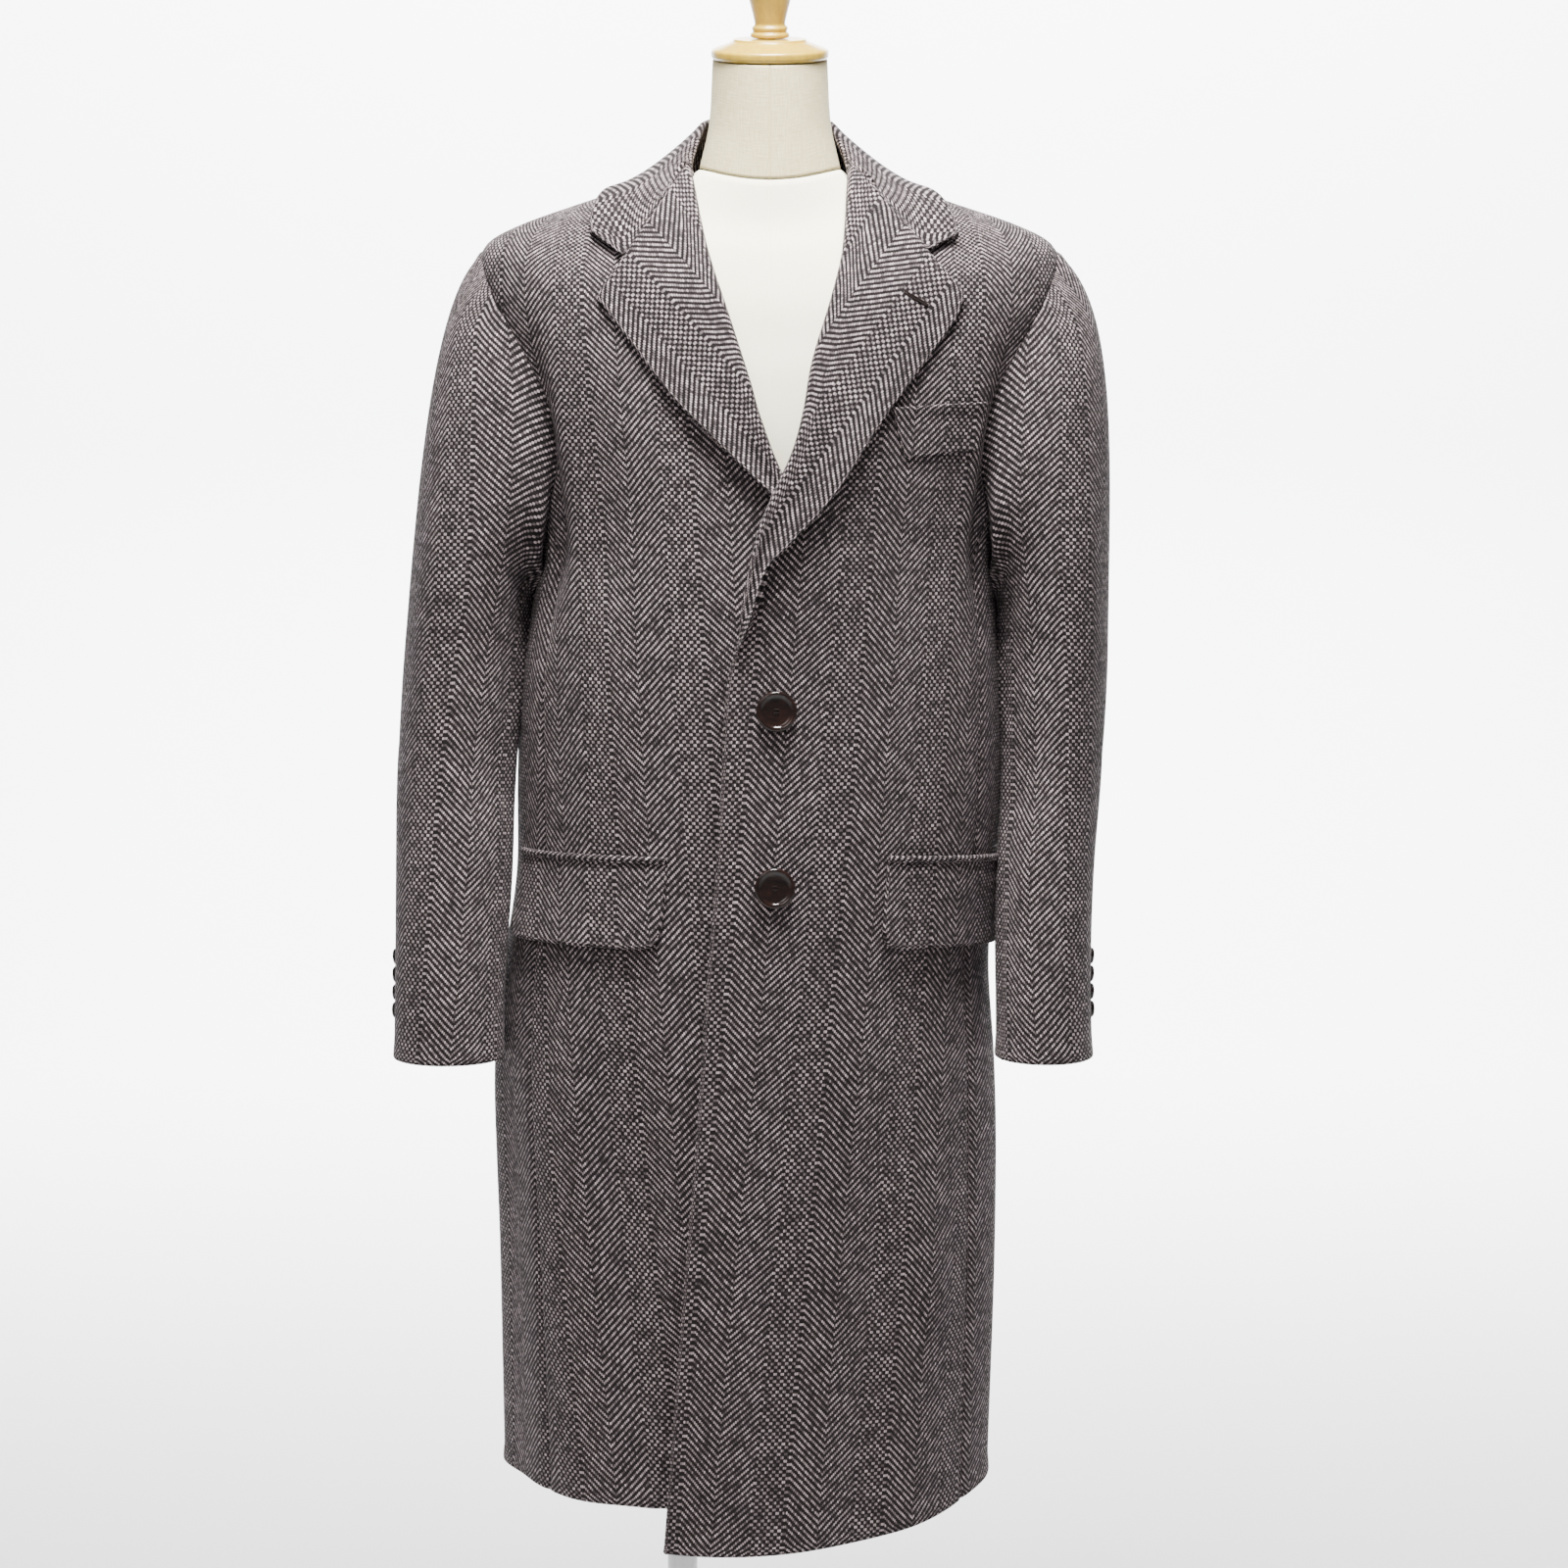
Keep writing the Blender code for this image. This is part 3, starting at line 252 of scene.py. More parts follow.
FORM_RINGS = (
    Ring(0.700, 0.700, 0.700, 0.700, -0.0040, 0.1300, 0.092, 0.088),
    Ring(0.712, 0.712, 0.712, 0.712, -0.0040, 0.1420, 0.100, 0.096),
    Ring(0.760, 0.760, 0.760, 0.760, -0.0030, 0.1530, 0.110, 0.108),
    Ring(0.850, 0.850, 0.850, 0.850, 0.0000, 0.1520, 0.111, 0.110),
    Ring(0.980, 0.980, 0.980, 0.980, 0.0060, 0.1250, 0.096, 0.090),
    Ring(1.100, 1.100, 1.100, 1.100, 0.0110, 0.1380, 0.112, 0.098),
    Ring(1.180, 1.180, 1.180, 1.180, 0.0130, 0.1480, 0.116, 0.104),
    Ring(1.250, 1.250, 1.235, 1.240, 0.0130, 0.1680, 0.110, 0.100),
    Ring(1.295, 1.295, 1.268, 1.278, 0.0130, 0.1840, 0.102, 0.095),
    Ring(1.325, 1.325, 1.290, 1.302, 0.0130, 0.1820, 0.096, 0.090),
    Ring(1.345, 1.343, 1.305, 1.322, 0.0130, 0.1680, 0.090, 0.086),
    Ring(1.400, 1.363, 1.333, 1.354, 0.0120, 0.1270, 0.076, 0.078),
    Ring(1.450, 1.380, 1.358, 1.380, 0.0120, 0.0840, 0.061, 0.066),
    Ring(1.482, 1.401, 1.390, 1.406, 0.0130, 0.0560, 0.053, 0.052),
)
NECK_RINGS = (
    Ring(0.00, 1.4014, 1.3904, 1.4064, 0.0130, 0.0555, 0.0525, 0.0515),
    Ring(0.35, 1.4350, 1.4250, 1.4400, 0.0130, 0.0480, 0.0505, 0.0415),
    Ring(1.00, 1.4860, 1.4770, 1.4927, 0.0130, 0.0450, 0.0510, 0.0380),
)
CAP_PROFILE = (
    Turn(0.0, 0.0), Turn(0.044, 0.0), Turn(0.046, 0.002), Turn(0.046, 0.007),
    Turn(0.044, 0.0085), Turn(0.029, 0.014), Turn(0.0285, 0.016), Turn(0.0, 0.016),
)
FINIAL_PROFILE = (
    Turn(0.0, 0.0164), Turn(0.013, 0.0164), Turn(0.0153, 0.018), Turn(0.0153, 0.02),
    Turn(0.013, 0.0216), Turn(0.014, 0.0232), Turn(0.014, 0.025), Turn(0.012, 0.0266),
    Turn(0.012, 0.029), Turn(0.0165, 0.047), Turn(0.0205, 0.065), Turn(0.022, 0.079),
    Turn(0.0205, 0.089), Turn(0.015, 0.097), Turn(0.006, 0.101), Turn(0.0, 0.101),
)
ARM_REACH = {Seam.FRONT: math.radians(35), Seam.BACK: math.radians(23)}
FRONT_BUTTONS = {"upper": Mark(0.985, 0.0180), "lower": Mark(0.851, 0.0166)}
BUTTON_PROFILE = (
    Turn(0.0, 0.0), Turn(0.72, 0.0), Turn(0.97, 0.35), Turn(1.0, 0.66), Turn(0.93, 1.0),
    Turn(0.8, 0.97), Turn(0.7, 0.66), Turn(0.4, 0.6), Turn(0.0, 0.58),
)


class Curve:
    """Smooth curve through a table, straight beyond its ends."""

    def __init__(self, knots: Sequence[float], values: Sequence[float]) -> None:
        """Keep the knots, the values and the slope at each knot."""
        self.knots = np.asarray(knots, float)
        self.values = np.asarray(values, float)
        last = len(self.knots) - 1
        after = np.minimum(np.arange(last + 1) + 1, last)
        before = np.maximum(np.arange(last + 1) - 1, 0)
        self.slopes = (self.values[after] - self.values[before]) / (self.knots[after] - self.knots[before])

    def __call__(self, where: Values) -> Array:
        """Return the curve's values.

        Args:
            where: Places along the curve.
        Returns:
            The value at each place.
        """
        where = np.asarray(where, float)
        low = np.clip(np.searchsorted(self.knots, where, side="right") - 1, 0, len(self.knots) - 2)
        span = self.knots[low + 1] - self.knots[low]
        share = (where - self.knots[low]) / span
        t = np.clip(share, 0.0, 1.0)
        keep = 2 * t**3 - 3 * t**2 + 1
        inside = keep * self.values[low] + (1 - keep) * self.values[low + 1]
        inside += span * ((t**3 - 2 * t**2 + t) * self.slopes[low] + (t**3 - t**2) * self.slopes[low + 1])
        end_slope = np.where(share < 0, self.slopes[low], self.slopes[low + 1])
        return inside + (share - t) * span * end_slope


def curves(rows: Sequence[NamedTuple]) -> dict[str, Curve]:
    """Return a curve of each column of a table against its first column."""
    names = rows[0]._fields
    return {name: Curve([row[0] for row in rows], [getattr(row, name) for row in rows]) for name in names}


def ease(low: Values, high: Values, value: Values) -> Array:
    """Return a soft step: 0 below low, 1 above high and a smooth change between."""
    t = np.clip((value - low) / (high - low), 0.0, 1.0)
    return t * t * (3 - 2 * t)


def unit(vectors: Array) -> Array:
    """Return vectors made one long."""
    return vectors / np.maximum(np.linalg.norm(vectors, axis=-1, keepdims=True), 1e-12)


def run(points: Array, axis: int) -> Array:
    """Return the length walked up the rows (axis 0) or across the columns (axis 1) of a grid."""
    steps = np.linalg.norm(np.diff(points, axis=axis), axis=-1)
    return np.insert(np.cumsum(steps, axis=axis), 0, 0.0, axis=axis)


def paired(*values: Values) -> Sequence[Array]:
    """Return values as arrays of one shape."""
    return np.broadcast_arrays(*(np.asarray(value, float) for value in values))


def halved(low: Array, high: Array, short: Callable[[Array], Array], rounds: int = 40) -> Array:
    """Return where a test stops being true, found by halving.

    Args:
        low: Places where the test is true.
        high: Places where it is false.
        short: The test.
        rounds: Number of halvings.
    Returns:
        The last places where it is true.
    """
    for _ in range(rounds):
        middle = (low + high) / 2
        under = short(middle)
        low, high = np.where(under, middle, low), np.where(under, high, middle)
    return low


def outward(point: Callable[..., Array], turn: Values, station: Values, step: float) -> Array:
    """Return directions square to a form.

    Args:
        point: Gives the form's points.
        turn: Turns round it.
        station: Stations along it.
        step: How far apart the compared points are.
    Returns:
        One direction for each pair.
    """
    around = point(np.add(turn, step), station) - point(np.subtract(turn, step), station)
    along = point(turn, np.add(station, step)) - point(turn, np.subtract(station, step))
    return unit(np.cross(around, along))


class RingSkin:
    """Smooth skin through rings; angle 0 is the centre front and +90 degrees the wearer's left."""

    def __init__(self, rings: Sequence[Ring], top_power: float = 2.0) -> None:
        """Make a curve of each column of the table."""
        self.low = rings[0].station
        self.high = rings[-1].station
        self.top_power = top_power
        self.sizes = curves(rings)

    def point(self, angle: Values, station: Values) -> Array:
        """Return skin points.

        Args:
            angle: Angles round the figure, in radians.
            station: Stations up it.
        Returns:
            One point for each pair.
        """
        angle, station = paired(angle, station)
        size = {name: curve(station) for name, curve in self.sizes.items()}
        cosine = np.cos(angle)
        front = cosine > 0
        depth = np.where(front, size["front_depth"], size["back_depth"])
        end_z = np.where(front, size["front_z"], size["back_z"])
        power = 2 + (self.top_power - 2) * (station - self.low) / (self.high - self.low)
        x = size["centre_x"] + size["half_width"] * np.sin(angle)
        z = size["side_z"] + (end_z - size["side_z"]) * np.abs(cosine) ** power
        return np.stack((x, -depth * cosine, z), axis=-1)

    def normal(self, angle: Values, station: Values) -> Array:
        """Return outward directions at angles and stations."""
        return outward(self.point, angle, station, 0.001)

    def angle_at(self, x: Values, station: Values) -> Array:
        """Return the front angle at which a ring reaches x."""
        ratio = (x - self.sizes["centre_x"](station)) / self.sizes["half_width"](station)
        return np.arcsin(np.clip(ratio, -0.999, 0.999))

    def seen_at(self, x: Values, z: Values) -> tuple[Array, Array]:
        """Return where the front is seen at x and z.

        Args:
            x: Places across.
            z: Heights.
        Returns:
            Angles and stations.
        """
        x, z = paired(x, z)
        low, high = np.full(x.shape, self.low), np.full(x.shape, self.high)
        station = halved(low, high, lambda at: self.point(self.angle_at(x, at), at)[..., 2] < z)
        return self.angle_at(x, station), station

    def clear(self, points: Array, angle: Array, station: Array, least: float) -> Array:
        """Return points pushed out until they are clear of the skin.

        Args:
            points: Points to push.
            angle: Angles near them.
            station: Stations near them.
            least: Least distance.
        Returns:
            The moved points.
        """
        angle, station = (np.array(np.broadcast_to(a, points.shape[:-1])) for a in (angle, station))
        step = 0.0005
        for _ in range(12):
            here = self.point(angle, station)
            around = (self.point(angle + step, station) - here) / step
            up = (self.point(angle, station + step) - here) / step
            miss = points - here
            a, b, c = ((p * q).sum(-1) for p, q in ((around, around), (around, up), (up, up)))
            d, e = ((p * miss).sum(-1) for p in (around, up))
            scale = a * c - b * b
            angle += np.clip((d * c - e * b) / scale, -0.2, 0.2)
            station += np.clip((e * a - d * b) / scale, -0.02, 0.02)
        normal = self.normal(angle, station)
        away = ((points - self.point(angle, station)) * normal).sum(-1)
        return points + normal * np.maximum(least - away, 0.0)[..., None]


class FlatMap:
    """Lengths round and along a curved form, as a tape measure laid on it gives them."""

    def __init__(self, point: Callable[[Array, Array], Array], turns: Array, stations: Array) -> None:
        """Measure the form on an even grid; lengths round start where the turn is 0."""
        self.knots = stations, turns
        grid = point(turns[None, :], stations[:, None])
        round_form = run(grid, 1)
        start = np.array([np.interp(0.0, turns, row) for row in round_form])
        self.tables = {"around": round_form - start[:, None], "along": run(grid, 0)}

    def length(self, name: str, turn: Values, station: Values) -> Array:
        """Return lengths at places on the form.

        Args:
            name: Which table: around or along.
            turn: Turns round the form.
            station: Stations along it.
        Returns:
            Length at each place.
        """
        turn, station = paired(turn, station)
        table = self.tables[name]
        spots = []
        for where, knots in zip((station, turn), self.knots):
            at = (where - knots[0]) / (knots[1] - knots[0])
            low = np.clip(np.floor(at).astype(int), 0, len(knots) - 2)
            spots.append((low, at - low))
        (j, v), (i, u) = spots
        low_row = table[j, i] * (1 - u) + table[j, i + 1] * u
        high_row = table[j + 1, i] * (1 - u) + table[j + 1, i + 1] * u
        return low_row * (1 - v) + high_row * v

    def place(self, turn: Values, station: Values) -> Array:
        """Return both lengths as flat coordinates."""
        return np.stack([self.length(name, turn, station) for name in self.tables], axis=-1)


class Crease(NamedTuple):
    """Soft fold along a path of turns in degrees and stations; positive depth is a ridge."""

    path: tuple[tuple[float, float], ...]
    width: float
    depth: float
    runs_off: bool = False


@dataclass
class Drape:
    """The creases that lie on one hanging form."""

    flat: FlatMap
    creases: Sequence[Crease]
    fading: float = 0.35

    def lift(self, turn: Array, station: Array) -> Array:
        """Return how far the creases move the cloth out.

        Args:
            turn: Turns round the form.
            station: Stations along it.
        Returns:
            Distances out.
        """
        spots = self.flat.place(turn, station)
        total = np.zeros(spots.shape[:-1])
        for crease in self.creases:
            degrees, stations = np.array(crease.path).T
            path = self.flat.place(np.radians(degrees), stations)
            starts = run(path[None], 1)[0]
            nearest = np.full(total.shape, np.inf)
            share = np.zeros(total.shape)
            for start, here, leg in zip(starts, path, np.diff(path, axis=0)):
                t = np.clip(((spots - here) @ leg) / (leg @ leg), 0.0, 1.0)
                away = np.linalg.norm(spots - here - t[..., None] * leg, axis=-1)
                closer = away < nearest
                nearest = np.where(closer, away, nearest)
                share = np.where(closer, (start + t * np.linalg.norm(leg)) / starts[-1], share)
            fade = ease(0.0, self.fading, share)
            if not crease.runs_off:
                fade = fade * ease(0.0, self.fading, 1 - share)
            total += crease.depth * fade * np.exp(-((nearest / crease.width) ** 2))
        return total


BODY_CREASES = (
    Crease(((-56, 1.32), (-60, 1.22), (-64, 1.12), (-67, 1.00)), 0.013, -0.0066),
    Crease(((-48, 1.31), (-53, 1.21), (-55, 1.10), (-57, 1.00)), 0.013, 0.0036),
    Crease(((-35, 1.22), (-38, 1.13), (-40, 1.05)), 0.022, -0.0018),
    Crease(((57, 1.31), (61, 1.21), (65, 1.12), (67, 1.02)), 0.012, -0.0058),
    Crease(((50, 1.28), (55, 1.19), (58, 1.10), (59, 1.03)), 0.013, 0.0032),
    Crease(((38, 1.15), (40, 1.09), (41, 1.02)), 0.022, -0.0018),
    Crease(((101, 1.22), (101, 1.04), (100, 0.90), (97, 0.72)), 0.022, 0.0044),
    Crease(((-101, 1.23), (-101, 1.06), (-100, 0.92), (-97, 0.76)), 0.022, 0.0046),
    Crease(((96, 1.20), (98, 1.10), (99, 1.00)), 0.018, 0.0032),
    Crease(((-96, 1.20), (-98, 1.10), (-99, 1.00)), 0.018, 0.0032),
    Crease(((-47, 0.79), (-47, 0.62), (-44, 0.48), (-41, 0.36)), 0.030, 0.0050, True),
    Crease(((-29, 0.77), (-28, 0.60), (-25, 0.46), (-22, 0.35)), 0.044, -0.0060, True),
    Crease(((-10, 0.72), (-9, 0.56), (-8, 0.40)), 0.034, 0.0030, True),
    Crease(((36, 0.66), (44, 0.57), (53, 0.47)), 0.026, 0.0042),
    Crease(((12, 0.69), (15, 0.60), (16, 0.51)), 0.020, 0.0026),
    Crease(((28, 0.72), (27, 0.58), (26, 0.36)), 0.040, -0.0048, True),
    Crease(((76, 0.80), (78, 0.62), (79, 0.36)), 0.030, 0.0046, True),
    Crease(((-84, 0.82), (-86, 0.60), (-87, 0.36)), 0.032, 0.0044, True),
    Crease(((-70, 0.74), (-71, 0.55), (-70, 0.36)), 0.028, -0.0036, True),
    Crease(((108, 0.76), (112, 0.58), (115, 0.36)), 0.026, -0.0058, True),
    Crease(((134, 0.84), (137, 0.62), (141, 0.36)), 0.028, 0.0076, True),
    Crease(((-128, 0.80), (-134, 0.60), (-138, 0.36)), 0.030, 0.0072, True),
    Crease(((-150, 0.78), (-153, 0.58), (-156, 0.36)), 0.024, -0.0060, True),
    Crease(((154, 0.74), (158, 0.58), (160, 0.40)), 0.022, -0.0052, True),
    Crease(((138, 1.28), (130, 1.18), (123, 1.06)), 0.015, 0.0058),
    Crease(((-134, 1.27), (-129, 1.19), (-123, 1.04)), 0.014, 0.0062),
    Crease(((146, 1.24), (139, 1.15), (133, 1.02)), 0.014, -0.0042),
    Crease(((-146, 1.20), (-140, 1.12), (-134, 0.98)), 0.015, -0.0038),
    Crease(((136, 1.00), (156, 0.955), (176, 0.945)), 0.014, -0.0042),
    Crease(((-134, 0.965), (-156, 0.935), (-178, 0.93)), 0.015, -0.0044),
    Crease(((128, 0.95), (146, 0.915), (168, 0.91)), 0.014, 0.0030),
    Crease(((-140, 1.45), (-158, 1.435), (-175, 1.43)), 0.012, -0.0026),
    Crease(((142, 1.455), (160, 1.44), (176, 1.432)), 0.012, -0.0022),
)
SLEEVE_CREASES = Sided(
    left=(
        Crease(((164, 0.62), (166, 0.95), (167, 1.45), (168, 1.98)), 0.015, 0.0060),
        Crease(((158, 0.02), (156, 0.60), (157, 1.30)), 0.015, 0.0075),
        Crease(((158, 0.80), (159, 0.40), (160, 0.01)), 0.014, 0.0042, True),
        Crease(((118, 0.75), (108, 1.10), (104, 1.40)), 0.014, -0.0022),
        Crease(((70, 0.55), (62, 0.90), (60, 1.25)), 0.018, 0.0022),
        Crease(((-60, 1.15), (-20, 1.30), (20, 1.38)), 0.013, -0.0026),
        Crease(((-70, 1.38), (-35, 1.47), (0, 1.52)), 0.012, -0.0020),
        Crease(((96, 1.50), (120, 1.42), (150, 1.30)), 0.012, -0.0030),
        Crease(((104, 1.62), (130, 1.56), (160, 1.46)), 0.012, 0.0022),
        Crease(((250, 0.60), (240, 1.00), (236, 1.50)), 0.018, 0.0036),
        Crease(((210, 0.70), (205, 1.10), (204, 1.60)), 0.016, -0.0034),
    ),
    right=(
        Crease(((163, 0.58), (165, 0.90), (166, 1.30), (168, 1.90)), 0.015, 0.0052),
        Crease(((158, 0.02), (156, 0.60), (157, 1.30)), 0.015, 0.0085),
        Crease(((158, 0.80), (159, 0.40), (160, 0.01)), 0.014, 0.0042, True),
        Crease(((120, 0.70), (110, 1.05), (102, 1.34)), 0.015, -0.0024),
        Crease(((66, 0.60), (58, 0.95), (55, 1.35)), 0.019, 0.0024),
        Crease(((-64, 1.10), (-26, 1.24), (14, 1.35)), 0.014, -0.0026),
        Crease(((-66, 1.42), (-30, 1.52), (6, 1.56)), 0.012, -0.0020),
        Crease(((98, 1.44), (124, 1.37), (152, 1.26)), 0.013, -0.0030),
        Crease(((100, 1.58), (128, 1.52), (158, 1.41)), 0.012, 0.0024),
        Crease(((252, 0.55), (242, 0.95), (238, 1.46)), 0.019, 0.0034),
        Crease(((212, 0.74), (206, 1.16), (205, 1.66)), 0.016, -0.0036),
    ),
)


class Graph:
    """Small helper that adds and joins the shader nodes of one material."""

    def __init__(self, name: str) -> None:
        """Start a material with its Principled shader."""
        self.material = bpy.data.materials.new(name)
        self.material.use_nodes = True
        self.tree = self.material.node_tree
        self.shader = self.tree.nodes["Principled BSDF"]

    def put(self, socket: Socket, value: object) -> None:
        """Join a socket to another, or set its number."""
        if isinstance(value, bpy.types.NodeSocket):
            self.tree.links.new(value, socket)
        else:
            socket.default_value = value

    def node(self, kind: str, values: dict[int | str, object], **settings: object) -> bpy.types.Node:
        """Return a new node.

        Args:
            kind: Node type, without its ShaderNode prefix.
            values: Sockets or numbers for its inputs.
            settings: Attributes to set on it.
        Returns:
            The node.
        """
        made = self.tree.nodes.new("ShaderNode" + kind)
        for name, value in settings.items():
            setattr(made, name, value)
        for key, value in values.items():
            self.put(made.inputs[key], value)
        return made

    def coordinates(self, name: str) -> Socket:
        """Return the UV or Object coordinates."""
        return self.node("TexCoord", {}).outputs[name]

    def math(self, operation: str, *values: object) -> Socket:
        """Return the result of a math node on sockets or numbers."""
        return self.node("Math", dict(enumerate(values)), operation=operation).outputs[0]

    def product(self, *values: object) -> Socket:
        """Return the product of sockets or numbers."""
        return reduce(partial(self.math, "MULTIPLY"), values)

    def mix(self, share: Socket, low: object, high: object) -> Socket:
        """Return a mix of two colours: the first where the share is 0, the second where it is 1."""
        return self.node("Mix", {0: share, 6: low, 7: high}, data_type="RGBA").outputs[2]

    def noise(self, vector: Socket, scale: float, detail: float = 2.0, rough: float = 0.5) -> Socket:
        """Return a noise of so many repeats in a metre, about 0 to 1."""
        values = {"Vector": vector, "Scale": scale, "Detail": detail, "Roughness": rough}
        return self.node("TexNoise", values).outputs[0]

    def streaks(self, vector: Socket, scale: Spot, detail: float = 2.0, rough: float = 0.5) -> Socket:
        """Return a noise with its own repeats in a metre along each axis."""
        drawn = self.node("VectorMath", {0: vector, 1: scale}, operation="MULTIPLY")
        return self.noise(drawn.outputs[0], 1.0, detail, rough)

    def between(self, value: Socket, low: float, high: float, to_low: float, to_high: float) -> Socket:
        """Return a value moved from the range low to high into another and kept inside it."""
        return self.node("MapRange", dict(enumerate((value, low, high, to_low, to_high)))).outputs[0]

    def bump(self, height: Socket, distance: float, strength: float) -> None:
        """Give the shader a bump: a height of 1 stands for a distance in metres."""
        made = self.node("Bump", {"Strength": strength, "Distance": distance, "Height": height})
        self.put(self.shader.inputs["Normal"], made.outputs[0])

    def set(self, **numbers: object) -> None:
        """Set or join the shader's sockets; an underscore in a name stands for a space."""
        for name, value in numbers.items():
            self.put(self.shader.inputs[name.replace("_", " ")], value)


@dataclass(frozen=True)
class HerringboneCloth:
    """Brushed wool in two yarns: twill one way, a basket band, twill the other way."""

    name: str = "herringbone_wool"
    light: Colour = (0.252, 0.204, 0.208, 1.0)
    dark: Colour = (0.0062, 0.0042, 0.0045, 1.0)
    yarn: float = 0.00135
    band_yarns: int = 20
    float_yarns: int = 4
    wander: float = 0.0005

    def material(self) -> Material:
        """Return the cloth's material, drawn on the UV map in metres."""
        g = Graph(self.name)
        flat = g.coordinates("UV")
        drift = g.node("TexNoise", {"Vector": flat, "Scale": 90.0}).outputs[1]
        moved = {0: drift, 1: (2 * self.wander,) * 3, 2: flat}
        offset = g.node("VectorMath", moved, operation="MULTIPLY_ADD")
        parts = g.node("SeparateXYZ", {0: offset.outputs[0]}).outputs
        warp, weft = (g.math("DIVIDE", part, self.yarn) for part in (parts[0], parts[1]))
        i = g.math("FLOOR", warp)
        period = float(self.float_yarns)
        band = g.math("FLOORED_MODULO", i, float(3 * self.band_yarns))
        past_first, past_second = (g.math("GREATER_THAN", band, k * self.band_yarns - 0.5) for k in (1, 2))
        pair = g.math("LESS_THAN", g.math("FLOORED_MODULO", i, period), period / 2)
        rising = g.product(g.math("SUBTRACT", i, weft), g.math("SUBTRACT", 1.0, past_first))
        basket = g.math("MULTIPLY_ADD", pair, period / 2, weft)
        basket = g.product(basket, g.math("SUBTRACT", past_first, past_second))
        falling = g.product(g.math("ADD", i, weft), past_second)
        step = g.math("ADD", g.math("ADD", rising, basket), falling)
        cover = self.cover(g, warp, step)
        tone = self.slubs(g, i, g.math("FLOOR", g.math("DIVIDE", step, period)), weft)
        weft_tone = g.between(g.streaks(flat, (60.0, 740.0, 1.0), 2.0, 0.6), 0.3, 0.7, 0.4, 2.2)
        fibre = g.between(g.noise(flat, 2600.0, 2.0, 0.6), 0.25, 0.75, 0.62, 1.35)
        cloud = g.between(g.streaks(flat, (38.0, 70.0, 1.0), 3.0, 0.6), 0.3, 0.7, 0.72, 1.22)
        shades = []
        for colour, own in ((self.dark, weft_tone), (self.light, tone)):
            shade = {0: colour[:3], 3: g.product(own, fibre, cloud)}
            shades.append(g.node("VectorMath", shade, operation="SCALE").outputs[0])
        fuzz = g.math("MULTIPLY", g.noise(flat, 5200.0, 1.0), 0.4)
        g.bump(g.math("ADD", cover, fuzz), 0.0005, 0.7)
        g.set(Base_Color=g.mix(cover, *shades), Roughness=0.92, Specular_IOR_Level=0.18)
        g.set(Sheen_Weight=0.04, Sheen_Roughness=0.45, Sheen_Tint=(0.9, 0.84, 0.84, 1.0))
        return g.material

    def cover(self, g: Graph, warp: Socket, step: Socket) -> Socket:
        """Return how far the pale yarn lies over the dark one: a row of rounded floats.

        Args:
            g: Material being made.
            warp: Places counted in pale yarns.
            step: Places along each pale yarn.
        Returns:
            Cover socket from 0 to 1.
        """
        along = g.math("SINE", g.math("MULTIPLY", step, 2 * math.pi / self.float_yarns))
        aside = g.math("SUBTRACT", g.math("FRACT", warp), 0.5)
        across = g.math("SUBTRACT", 1.0, g.product(aside, aside, 3.0))
        return g.between(g.product(along, across), 0.08, 0.62, 0.0, 1.0)

    def slubs(self, g: Graph, i: Socket, number: Socket, weft: Socket) -> Socket:
        """Return how bright each pale float is, changing from yarn to yarn and along it.

        Args:
            g: Material being made.
            i: Pale yarn number.
            number: Float number along it.
            weft: Places along it.
        Returns:
            Brightness socket around 1.
        """
        spot = g.node("CombineXYZ", {0: i, 1: number}).outputs[0]
        chance = g.node("TexWhiteNoise", {"Vector": spot}, noise_dimensions="2D").outputs["Value"]
        apart = {0: g.math("MULTIPLY", i, 7.31), 1: g.math("MULTIPLY", weft, 0.16)}
        slow = g.noise(g.node("CombineXYZ", apart).outputs[0], 1.0, 2.0, 0.7)
        return g.product(g.between(chance, 0.0, 1.0, 0.30, 1.85), g.between(slow, 0.28, 0.72, 0.4, 1.6))


@dataclass(frozen=True)
class WovenCover:
    """Plain woven or knitted cover of the dress form."""

    name: str
    pale: Colour
    deep: Colour
    thread: float
    relief: float

    def material(self) -> Material:
        """Return the cover's material, drawn on the UV map in metres."""
        g = Graph(self.name)
        flat = g.coordinates("UV")
        fine = 1.0 / self.thread
        long = fine * 0.06
        warp, weft = (g.streaks(flat, scale, 2.0, 0.6) for scale in ((fine, long, 1.0), (long, fine, 1.0)))
        threads = g.math("MULTIPLY", g.math("ADD", warp, weft), 0.5)
        cloud = g.between(g.noise(flat, 14.0, 3.0), 0.3, 0.7, -0.1, 0.15)
        share = g.math("ADD", g.between(threads, 0.32, 0.68, 0.0, 0.85), cloud)
        share = g.math("MINIMUM", g.math("MAXIMUM", share, 0.0), 1.0)
        g.bump(threads, self.relief, 0.6)
        g.set(Base_Color=g.mix(share, self.deep, self.pale), Roughness=0.88)
        g.set(Specular_IOR_Level=0.2, Sheen_Weight=0.1)
        return g.material


